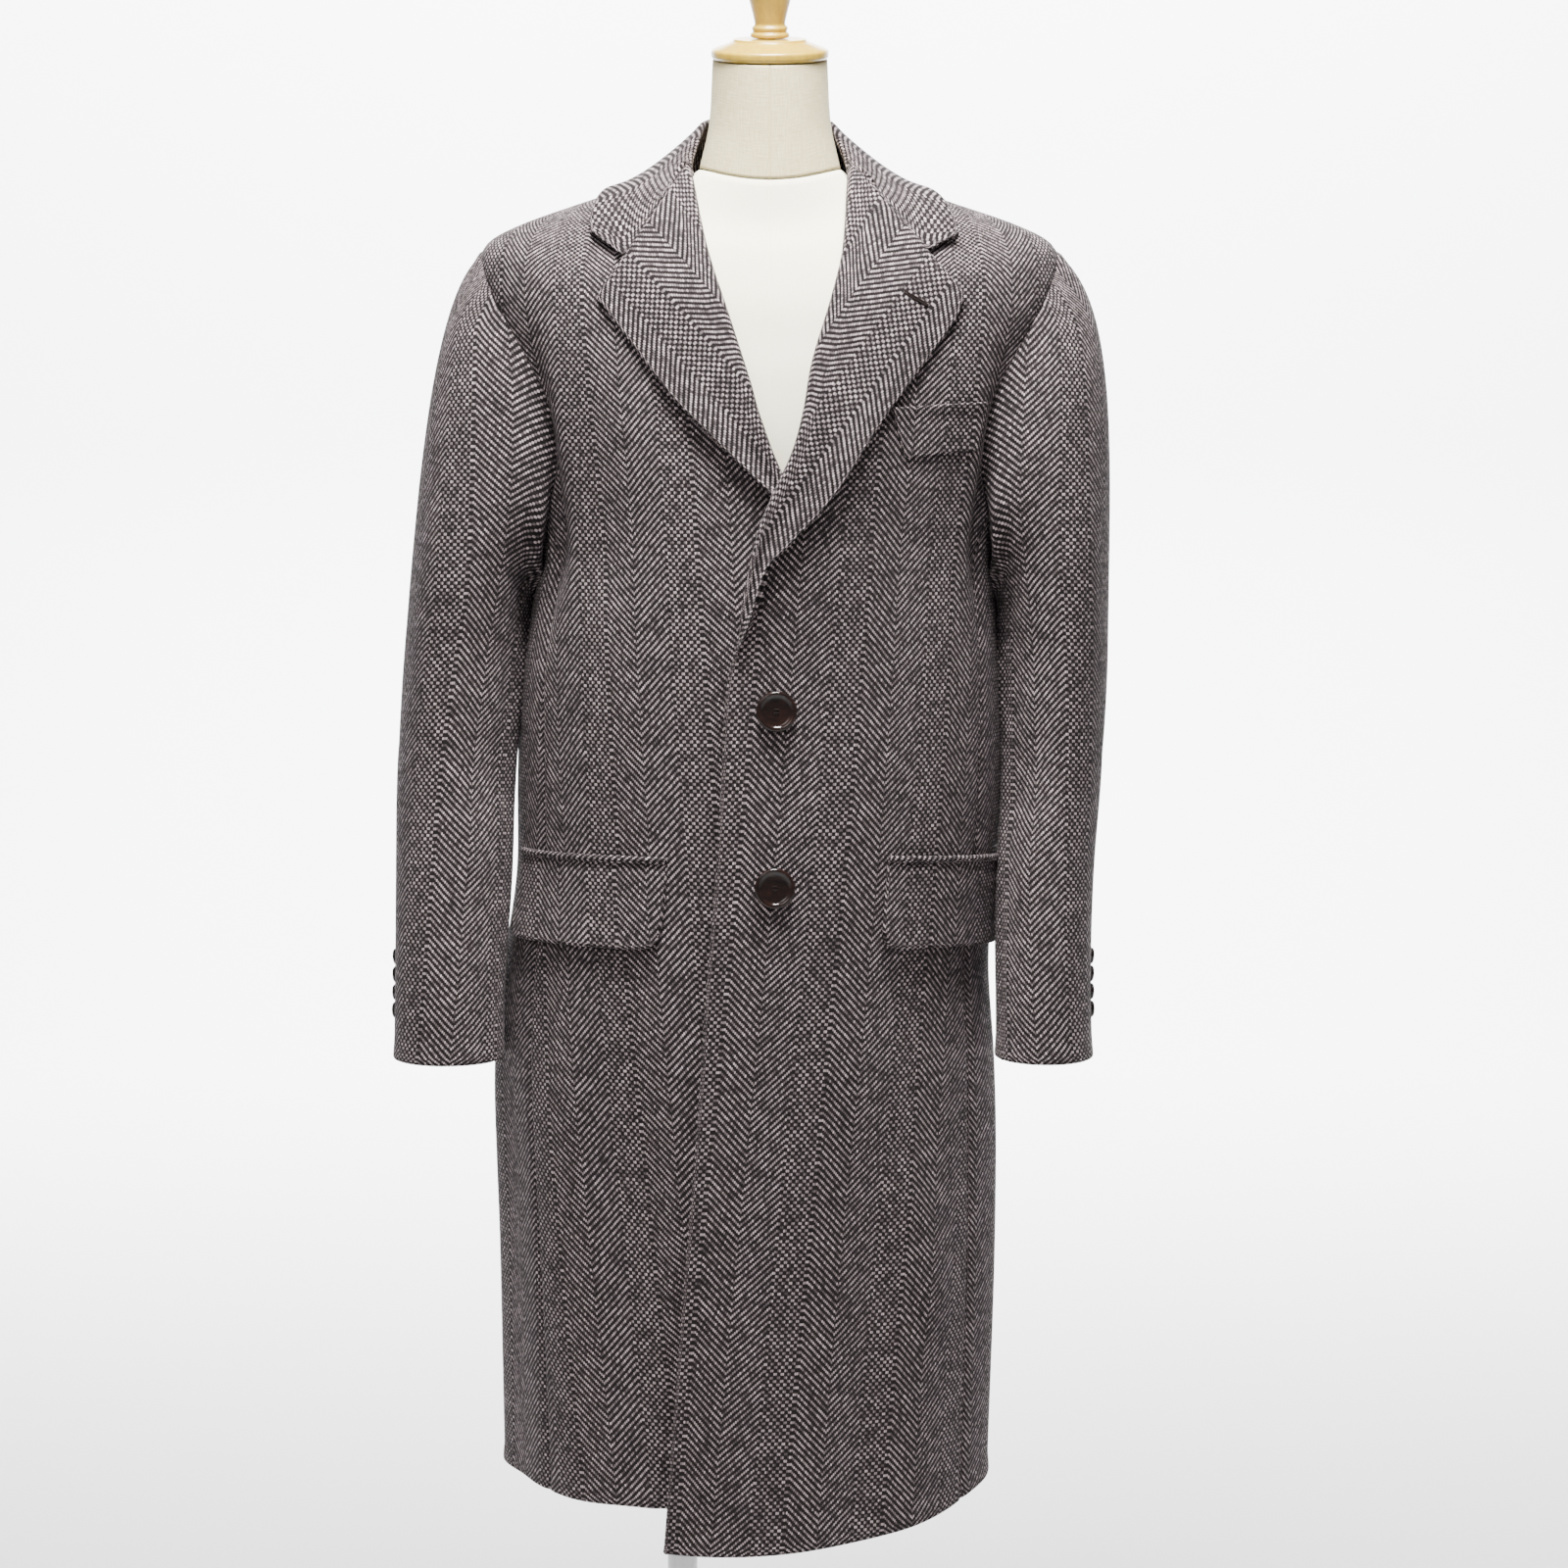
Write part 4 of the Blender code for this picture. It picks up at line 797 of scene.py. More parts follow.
@dataclass(frozen=True)
class LacqueredWood:
    """Pale turned wood under clear lacquer."""

    name: str = "lacquered_wood"
    pale: Colour = (0.50, 0.33, 0.026, 1.0)
    deep: Colour = (0.36, 0.21, 0.012, 1.0)

    def material(self) -> Material:
        """Return the wood's material."""
        g = Graph(self.name)
        place = g.coordinates("Object")
        grain = g.streaks(place, (260.0, 260.0, 16.0), 4.0, 0.6)
        pores = g.streaks(place, (1500.0, 1500.0, 70.0))
        share = g.product(g.between(grain, 0.3, 0.7, 0.2, 1.0), g.between(pores, 0.3, 0.6, 0.75, 1.0))
        g.bump(grain, 0.0001, 0.3)
        g.set(Base_Color=g.mix(share, self.deep, self.pale))
        g.set(Roughness=g.between(grain, 0.3, 0.7, 0.30, 0.42), Coat_Weight=0.5, Coat_Roughness=0.12)
        return g.material


@dataclass(frozen=True)
class SatinMetal:
    """Grey satin metal of the stand."""

    name: str = "satin_metal"
    pale: Colour = (0.52, 0.52, 0.53, 1.0)
    deep: Colour = (0.40, 0.40, 0.41, 1.0)

    def material(self) -> Material:
        """Return the metal's material."""
        g = Graph(self.name)
        place = g.coordinates("Object")
        brushed = g.streaks(place, (900.0, 900.0, 12.0), 3.0, 0.6)
        g.bump(brushed, 0.00004, 0.4)
        g.set(Base_Color=g.mix(brushed, self.deep, self.pale), Metallic=1.0)
        g.set(Roughness=g.between(g.noise(place, 18.0, 4.0), 0.3, 0.7, 0.30, 0.46))
        return g.material


@dataclass(frozen=True)
class PolishedButton:
    """Very dark brown polished button with a faint marbling."""

    name: str = "polished_button"
    pale: Colour = (0.017, 0.0062, 0.0042, 1.0)
    deep: Colour = (0.0055, 0.0026, 0.0021, 1.0)

    def material(self) -> Material:
        """Return the button's material."""
        g = Graph(self.name)
        place = g.coordinates("Object")
        veins = g.between(g.streaks(place, (110.0, 110.0, 260.0), 5.0, 0.6), 0.4, 0.7, 0.0, 1.0)
        scuffs = g.noise(place, 900.0, 2.0)
        g.bump(scuffs, 0.00002, 0.2)
        g.set(Base_Color=g.mix(veins, self.deep, self.pale), Specular_IOR_Level=0.36)
        g.set(Roughness=g.between(scuffs, 0.3, 0.7, 0.10, 0.17), Coat_Weight=0.15, Coat_Roughness=0.05)
        return g.material


@dataclass(frozen=True)
class SewingThread:
    """Twisted sewing thread."""

    name: str = "sewing_thread"
    pale: Colour = (0.014, 0.009, 0.008, 1.0)
    deep: Colour = (0.008, 0.006, 0.006, 1.0)

    def material(self) -> Material:
        """Return the thread's material."""
        g = Graph(self.name)
        twist = g.streaks(g.coordinates("Object"), (2600.0, 2600.0, 2600.0))
        g.bump(twist, 0.0002, 0.7)
        g.set(Base_Color=g.mix(g.between(twist, 0.35, 0.65, 0.0, 1.0), self.deep, self.pale))
        g.set(Roughness=0.9, Specular_IOR_Level=0.08)
        return g.material


@dataclass(frozen=True)
class StudioPaper:
    """Pale floor and backdrop; the floor carries painted shade, darker than the backdrop."""

    name: str = "studio_paper"
    pale: Colour = (0.93, 0.93, 0.94, 1.0)
    # painted shade: the floor gets a darker colour than the backdrop to stand for less light falling on it
    floor: Colour = (0.80, 0.80, 0.80, 1.0)

    def material(self) -> Material:
        """Return the paper's material, with painted shade: darker on the floor than on the backdrop."""
        g = Graph(self.name)
        place = g.coordinates("Object")
        height = g.node("SeparateXYZ", {0: place}).outputs[2]
        g.bump(g.noise(place, 120.0, 2.0), 0.0006, 0.12)
        # painted shade: the colour darkens from the backdrop's to the floor's over the lowest 0.9 m
        g.set(Base_Color=g.mix(g.between(height, 0.0, 0.9, 0.0, 1.0), self.floor, self.pale))
        g.set(Roughness=0.95, Specular_IOR_Level=0.1)
        return g.material


FORM_JERSEY = WovenCover("form_jersey", (0.99, 0.965, 0.78, 1.0), (0.92, 0.87, 0.62, 1.0), 0.0007, 0.0002)
NECK_LINEN = WovenCover("neck_linen", (0.76, 0.665, 0.40, 1.0), (0.46, 0.375, 0.195, 1.0), 0.0008, 0.0005)


class Finishes:
    """One material of each finish, shared by the pieces."""

    def __init__(self) -> None:
        """Make the materials."""
        self.cloth = HerringboneCloth().material()
        self.jersey = FORM_JERSEY.material()
        self.linen = NECK_LINEN.material()
        self.wood = LacqueredWood().material()
        self.metal = SatinMetal().material()
        self.button = PolishedButton().material()
        self.thread = SewingThread().material()
        self.paper = StudioPaper().material()


def mesh_of(shape: bmesh.types.BMesh, name: str) -> Mesh:
    """Return a shape as a new mesh and let go of the shape."""
    mesh = bpy.data.meshes.new(name)
    shape.to_mesh(mesh)
    shape.free()
    return mesh


def grid_mesh(name: str, points: Array, flat: Array) -> Mesh:
    """Shape a grid into a skin, weld what meets and map it flat.

    Args:
        name: Name of the mesh.
        points: Grid of points.
        flat: Flat coordinates of each point.
    Returns:
        The mesh.
    """
    tall, wide = points.shape[:2]
    shape = bmesh.new()
    bmesh.ops.create_grid(shape, x_segments=wide - 1, y_segments=tall - 1, size=0.5)
    mesh = mesh_of(shape, name)
    spots = np.empty(len(mesh.vertices) * 3)
    mesh.vertices.foreach_get("co", spots)
    i, j, _ = np.rint((spots.reshape(-1, 3) + 0.5) * (wide - 1, tall - 1, 1)).astype(int).T
    mesh.vertices.foreach_set("co", points[j, i].ravel())
    corners = np.empty(len(mesh.loops), dtype=np.int32)
    mesh.loops.foreach_get("vertex_index", corners)
    layer = mesh.uv_layers.new(name="UVMap")
    layer.data.foreach_set("uv", flat[j, i][corners].ravel())
    shape = bmesh.new()
    shape.from_mesh(mesh)
    bmesh.ops.remove_doubles(shape, verts=shape.verts, dist=1e-6)
    bmesh.ops.dissolve_degenerate(shape, dist=1e-7, edges=shape.edges)
    shape.to_mesh(mesh)
    shape.free()
    return mesh


def place_mesh(name: str, mesh: Mesh, material: Material) -> Piece:
    """Return a new object of a mesh in its finish."""
    mesh.materials.append(material)
    mesh.shade_smooth()
    piece = bpy.data.objects.new(name, mesh)
    bpy.context.scene.collection.objects.link(piece)
    return piece


def finish_piece(name: str, mesh: Mesh, material: Material, slot: str, *nodes: str) -> Piece:
    """Turn a mesh into a piece that rides on the object.

    Args:
        name: Name of the piece.
        mesh: Its mesh, in place.
        material: Its finish.
        slot: Material slot of the record; not used.
        nodes: Solids that it stands for.
    Returns:
        The piece.
    """
    piece = place_mesh(name, mesh, material)
    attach(piece, "root")
    if nodes:
        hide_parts(*nodes)
    LOG.info("%s: %d faces", name, len(mesh.polygons))
    return piece


class Leaf:
    """Cloth with thickness and rounded edges, from a grid of its outer side."""

    RIM = np.radians((60.0, 30.0, 0.0, -30.0, -60.0))
    END = np.radians((30.0, 60.0, 90.0))
    LEAST_SIDE = 0.0101

    def __init__(
        self, node: str, outer: Array, flat: Array, thick: Values, sign: int, sink: Values = 0.0
    ) -> None:
        """Keep the grid with its columns turned so that the outer side faces out."""
        turn = slice(None, None, sign)
        self.node = node
        self.outer = outer[:, turn]
        self.flat = flat[:, turn]
        self.thick, self.sink = (np.broadcast_to(value, outer.shape[:2])[:, turn] for value in (thick, sink))

    def shell(self) -> tuple[Array, Array]:
        """Return the points and flat coordinates of the closed shell.

        Returns:
            Grids of points and of flat coordinates.
        """
        rows, columns = self.thick.shape
        half = self.thick[..., None] / 2
        normal = unit(np.cross(np.gradient(self.outer, axis=1), np.gradient(self.outer, axis=0)))
        middle = self.outer - normal * (half + self.sink[..., None])
        side_out = unit(np.cross(np.gradient(middle, axis=0), normal))
        end_out = unit(np.cross(normal, np.gradient(middle, axis=1)))
        middle[:, 0] += side_out[:, 0] * half[:, 0]
        middle[:, -1] -= side_out[:, -1] * half[:, -1]
        middle[0] += end_out[0] * half[0]
        middle[-1] -= end_out[-1] * half[-1]
        order = np.arange(columns)
        zero = np.zeros(columns)
        rim = len(self.RIM)
        ring = np.r_[order, [columns - 1] * rim, order[::-1], [0] * rim, 0]
        side = np.r_[zero, np.cos(self.RIM), zero, -np.cos(self.RIM), 0.0][:, None]
        face = np.r_[zero + 1, np.sin(self.RIM), zero - 1, np.sin(self.RIM[::-1]), 1.0][:, None]
        slip = np.r_[zero, np.pi / 2 - self.RIM, zero, self.RIM - np.pi / 2, 0.0][:, None]
        level = np.r_[[0] * 3, np.arange(rows), [rows - 1] * 3]
        tip = np.r_[-self.END[::-1], np.zeros(rows), self.END][:, None, None]
        pick = np.ix_(level, ring)
        section = side_out[pick] * side + normal[pick] * face
        points = middle[pick] + half[pick] * (np.cos(tip) * section + np.sin(tip) * end_out[pick])
        along, across = (unit(np.gradient(self.flat, axis=axis))[pick] for axis in (0, 1))
        return points, self.flat[pick] + half[pick] * (across * slip + along * tip)

    def build(self, material: Material, *rests_on: str) -> None:
        """Build the cloth as a sheet that stands for its solid.

        Args:
            material: Finish of the cloth.
            rests_on: What it hangs from or lies on; not used.
        """
        name = self.node + "_cloth"
        piece = finish_piece(name, grid_mesh(name, *self.shell()), material, "coat_cloth", self.node)


def lathe(name: str, profile: Sequence[Turn], steps: int, place: Matrix) -> Mesh:
    """Turn a profile about +Z and put it in place.

    Args:
        name: Name of the mesh.
        profile: Points from the lower pole to the upper one.
        steps: Sides of the turned shape.
        place: Where it goes.
    Returns:
        The mesh.
    """
    shape = bmesh.new()
    verts = [shape.verts.new((turn.radius, 0.0, turn.height)) for turn in profile]
    edges = [shape.edges.new(pair) for pair in zip(verts, verts[1:])]
    whole = {"cent": (0, 0, 0), "axis": (0, 0, 1), "angle": 2 * math.pi, "use_merge": True}
    bmesh.ops.spin(shape, geom=verts + edges, steps=steps, **whole)
    bmesh.ops.remove_doubles(shape, verts=shape.verts, dist=1e-6)
    bmesh.ops.recalc_face_normals(shape, faces=shape.faces)
    bmesh.ops.transform(shape, matrix=place, verts=shape.verts)
    return mesh_of(shape, name)


def softened(profile: Sequence[Turn], radius: float, steps: int = 4) -> list[Turn]:
    """Return a profile with its corners rounded.

    Args:
        profile: Points of the profile.
        radius: Length taken back from each corner, at most.
        steps: Points put on each corner.
    Returns:
        The rounded profile.
    """
    spots = [Vector((turn.radius, turn.height)) for turn in profile]
    made = [spots[0]]
    for before, here, after in zip(spots, spots[1:], spots[2:]):
        back, ahead = before - here, after - here
        first, last = (here + way.normalized() * min(radius, way.length * 0.45) for way in (back, ahead))
        for k in range(steps + 1):
            t = k / steps
            made.append(first * (1 - t) ** 2 + here * 2 * t * (1 - t) + last * t**2)
    made.append(spots[-1])
    return [Turn(max(spot.x, 0.0), spot.y) for spot in made]


def facing(direction: Array, at: Array) -> Matrix:
    """Return the placement that turns +Z to a direction at a point."""
    turn = Vector((0, 0, 1)).rotation_difference(Vector(direction)).to_matrix().to_4x4()
    return Matrix.Translation(Vector(at)) @ turn


@dataclass
class CoatBlock:
    """The coat's hanging shape: where its cloth lies round the figure and up it."""

    hem: float = 0.374
    armpit: float = 1.105
    shoulder_tip: float = 1.338
    side_top: float = 1.135
    neck_seam: float = 1.504
    arm_angle: float = math.radians(95)
    hem_drops: Sided[float] = Sided(0.038, 0.006)
    drop_fade: float = 0.5
    lap_fade: float = 0.06
    lap_margin: float = 0.006
    lap_dip: float = 0.0042
    dip_width: float = 0.0066
    roll_margin: float = 0.030
    break_z: float = 1.12
    seam_gap: float = 0.0002
    seam_sink: float = 0.0020
    seam_soft: float = 0.0042
    pattern_shifts: Sided[float] = Sided(0.039, 0.0)

    def __post_init__(self) -> None:
        """Make the skin, its flat measure and its creases."""
        self.skin = RingSkin(BODY_RINGS)
        self.lines = {side: curves(FRONT_LINES[side])["x"] for side in Side}
        self.grain = {side: curves(GRAIN_LINES[side])["x"] for side in Side}
        self.lap = curves(LAP_LIFTS)["out"]
        turns = np.radians(np.arange(-204.0, 205.0, 2.0))
        self.flat = FlatMap(self.skin.point, turns, np.arange(0.30, 1.55, 0.006))
        self.drape = Drape(self.flat, BODY_CREASES)
        self.arm_middle = (self.armpit + self.shoulder_tip) / 2
        self.arm_half = (self.shoulder_tip - self.armpit) / 2

    def lap_lift(self, side: Side, points: Array) -> Array:
        """Return how far a front stands out where it laps over the other.

        Args:
            side: Which front.
            points: Points of the skin.
        Returns:
            Distances out.
        """
        x, y, z = np.moveaxis(points, -1, 0)
        if side is Side.RIGHT:
            away = (x - self.lines[Side.LEFT](z) + self.dip_width / 3) / self.dip_width
            below = 1 - ease(self.break_z - 0.14, self.break_z - 0.08, z)
            lift = -self.lap_dip * np.exp(-(away**2)) * below
        else:
            start = self.lines[Side.RIGHT](z) + self.lap_margin
            over = np.maximum(start, self.lines[Side.LEFT](z) + self.roll_margin)
            start = np.where(z > self.break_z, over, start)
            lift = np.maximum(self.lap(z), 0.0) * (1 - ease(start, start + self.lap_fade, x))
        return np.where(y < 0, lift, 0.0)

    def out(self, side: Side, angle: Array, station: Array, distance: Values = 0.0) -> Array:
        """Return points moved out from the hanging cloth's outer side.

        Args:
            side: Which side's cloth.
            angle: Angles round the figure.
            station: Stations up it.
            distance: How far out.
        Returns:
            The points.
        """
        points = self.skin.point(angle, station)
        lift = self.lap_lift(side, points) + self.drape.lift(angle, station) + distance
        return points + self.skin.normal(angle, station) * lift[..., None]

    def closing_angle(self, side: Side, station: Array) -> Array:
        """Return the angle at which a front ends at its edge or roll line.

        Args:
            side: Which front.
            station: Stations up it.
        Returns:
            Angles towards the wearer's side.
        """

        def short(angle: Array) -> Array:
            """Return where an angle falls short of the line."""
            point = self.skin.point(side.value * angle, station)
            return side.value * (point[..., 0] - self.lines[side](point[..., 2])) < 0

        low, high = (np.full(np.shape(station), math.radians(end)) for end in (-45, 85))
        return halved(low, high, short)

    def edge_drop(self, side: Side, station: Array) -> Array:
        """Return how far the front edge hangs down."""
        return self.hem_drops[side] * (1 - ease(self.hem, self.hem + self.drop_fade, station))

    def hem_drop(self, side: Side, angle: Array, station: Array) -> Array:
        """Return how far the cloth hangs down, growing towards the front edge.

        Args:
            side: Which side.
            angle: Angles towards the wearer's side.
            station: Stations up it.
        Returns:
            Distances down.
        """
        drop = self.edge_drop(side, station)
        low = self.closing_angle(side, station - drop)
        share = np.minimum((angle - low) / (self.arm_angle - low), 1.0)
        return drop * np.cos(share * np.pi / 2)

    def half_gap(self, station: Array) -> Array:
        """Return the angle that half a seam gap takes up."""
        return self.seam_gap / (2 * self.skin.sizes["half_width"](station))

    def side_seam(self, side: Side, station: Values, seam: Seam) -> Array:
        """Return the angle of a side panel's seam, positive towards the wearer's side."""
        return np.radians(curves(SIDE_SEAMS[side])[seam.name.lower()](station))

    def seam_dip(self, side: Side, angle: Array, station: Array) -> Array:
        """Return how far the cloth sinks where it is sewn at the side panel and the centre back.

        Args:
            side: Which side.
            angle: Angles towards the wearer's side.
            station: Stations up it.
        Returns:
            Distances in.
        """
        scale = self.skin.sizes["half_width"](station) / self.seam_soft
        below = 1 - ease(self.side_top - 0.04, self.side_top, station)
        dip = np.exp(-(((np.abs(angle) - math.pi) * scale) ** 2))
        for seam in Seam:
            dip = dip + below * np.exp(-(((angle - self.side_seam(side, station, seam)) * scale) ** 2))
        return self.seam_sink * dip

    def panel_edge(self, side: Side, station: Array, seam: Seam) -> Array:
        """Return the angle of a front's or back's outer edge: side seam, armhole or shoulder seam.

        Args:
            side: Which side.
            station: Stations up it.
            seam: Seam that it ends at.
        Returns:
            Angles towards the wearer's side.
        """
        share = np.sqrt(np.maximum(1 - ((station - self.arm_middle) / self.arm_half) ** 2, 0.0))
        arm = self.arm_angle + seam.value * ARM_REACH[seam] * share
        low = self.side_seam(side, np.minimum(station, self.side_top), seam)
        return np.where(station <= self.side_top, low, arm) + seam.value * self.half_gap(station)

    def armhole_bottom(self, angle: Array) -> Array:
        """Return the station of the armhole's lower edge at angles."""
        reach = np.where(angle < self.arm_angle, ARM_REACH[Seam.FRONT], ARM_REACH[Seam.BACK])
        return self.arm_middle - self.arm_half * np.sqrt(1 - ((self.arm_angle - angle) / reach) ** 2)

    def body_rows(self) -> Array:
        """Return the row stations of a front or back, from hem to neck."""
        low = np.linspace(self.hem, self.side_top, 112)
        first = math.acos((self.side_top - self.arm_middle) / self.arm_half)
        arm = self.arm_middle + self.arm_half * np.cos(np.linspace(first, 0.0, 42))
        return np.r_[low, arm[1:], np.linspace(self.shoulder_tip, self.neck_seam, 28)[1:]][:, None]

    def turned_flat(self, start: Values, angle: Array, station: Array, shift: float = 0.0) -> Array:
        """Return flat coordinates measured round the figure from a start and moved by a shift."""
        moved = self.flat.length("around", start, station) + shift
        return self.flat.place(angle, station) - np.stack((moved, np.zeros_like(moved)), axis=-1)

    def front_flat(self, side: Side, angle: Array, station: Array) -> Array:
        """Return flat coordinates on a front, straight along its grain.

        Args:
            side: Which front.
            angle: Angles round the figure.
            station: Stations up it.
        Returns:
            Flat coordinates.
        """
        height = self.skin.point(np.zeros_like(station), station)[..., 2]
        grain = self.skin.angle_at(self.grain[side](height), station)
        return self.turned_flat(grain, angle, station, self.pattern_shifts[side])


@dataclass
class BodyPanels:
    """The fronts, side panels and backs."""

    block: CoatBlock
    finishes: Finishes
    cloth: float = 0.0026
    edge_cloth: float = 0.0014
    front_cloth: float = 0.0022
    edge_fade: float = 0.016
    mean_radius: float = 0.17
    crown_base: float = 1.05
    vent_top: float = 0.807
    vent_lap: float = 0.20
    vent_corner: float = 0.024
    vent_lift: float = 0.0034
    vent_settle: float = 0.08
    vent_fade: float = math.radians(9)
    front_columns: int = 84
    side_columns: int = 34
    back_columns: int = 34

    def hem_extra(self, station: Array) -> Array:
        """Return the extra thickness of the turned-up hem."""
        return self.edge_cloth * (1 - ease(self.block.hem, self.block.hem + self.edge_fade, station))

    def sew(
        self, node: str, side: Side, spots: tuple[Array, Array], flat: Array, extra: Array, lift: Values = 0.0
    ) -> None:
        """Build one panel.

        Args:
            node: Its solid, without the side.
            side: Which side.
            spots: Its angles and stations.
            flat: Flat coordinates.
            extra: Thickness over that of one cloth.
            lift: How far it stands out.
        """
        angle, station = spots
        outer = self.block.out(side, side.value * angle, station, extra + lift)
        sink = self.block.seam_dip(side, angle, station)
        leaf = Leaf(node + side.word, outer, flat, self.cloth + extra, side.value, sink)
        leaf.build(self.finishes.cloth, "form_torso")

    def front(self, side: Side) -> None:
        """Build one front from its edge and roll line to the side seam, armhole and shoulder."""
        block = self.block
        rows = block.body_rows()
        low = block.closing_angle(side, rows - block.edge_drop(side, rows))
        high = block.panel_edge(side, rows, Seam.FRONT)
        share = np.linspace(0, 1, self.front_columns)[None, :]
        angle = low + (high - low) * share
        station = rows - block.hem_drop(side, angle, rows)
        width = (high - low) * self.mean_radius
        extra = self.front_cloth * (1 - ease(0.0, self.edge_fade, share * width))
        extra = np.maximum(extra, self.hem_extra(rows))
        flat = block.front_flat(side, side.value * angle, station)
        self.sew("front_", side, (angle, station), flat, extra)

    def side(self, side: Side) -> None:
        """Build the panel under the arm, between the front's and the back's seams."""
        block, base = self.block, self.crown_base
        low_rows = np.linspace(block.hem, base, 100)
        rise = np.r_[np.zeros(len(low_rows)), np.linspace(0, 1, 16)[1:]][:, None]
        rows = np.r_[low_rows, np.linspace(base, block.side_top, 16)[1:]][:, None]
        share = np.linspace(0, 1, self.side_columns)[None, :]
        low = block.side_seam(side, rows, Seam.FRONT) + block.half_gap(rows)
        high = block.side_seam(side, rows, Seam.BACK) - block.half_gap(rows)
        angle = low + (high - low) * share
        first, last = (block.side_seam(side, block.side_top, seam) for seam in Seam)
        crown = block.armhole_bottom(first + (last - first) * share)
        station = rows - block.hem_drop(side, angle, rows)
        station = np.where(rise > 0, base + (crown - base) * rise, station)
        flat = block.turned_flat(side.value * block.arm_angle, side.value * angle, station)
        self.sew("side_", side, (angle, station), flat, self.hem_extra(rows))

    def back(self, side: Side) -> None:
        """Build one back from the side seam to the centre seam; the left one laps over at the vent."""
        block = self.block
        rows = block.body_rows()
        low = block.panel_edge(side, rows, Seam.BACK)
        fold = math.pi - self.vent_fade / 2
        lap = -block.half_gap(rows)
        if side is Side.LEFT:
            lap = lap + self.vent_lap * (1 - ease(self.vent_top - self.vent_corner, self.vent_top, rows))
        share = np.linspace(0, 1, self.back_columns)[None, :]
        near = np.linspace(0, 1, 9)[None, 1:]
        angle = np.concatenate((low + (fold - low) * share, fold + (math.pi + lap - fold) * near), axis=1)
        lift = 0.0
        if side is Side.LEFT:
            fade = 1 - ease(self.vent_top, self.vent_top + self.vent_settle, rows)
            near = ease(math.pi - self.vent_fade, math.pi - self.vent_fade / 6, angle)
            lift = self.vent_lift * fade * near
        flat = block.turned_flat(side.value * math.pi, side.value * angle, rows)
        self.sew("back_", side, (angle, rows), flat, self.hem_extra(rows), lift)

    def build(self) -> None:
        """Build the panels of both sides."""
        for side in Side:
            self.front(side)
            self.side(side)
            self.back(side)


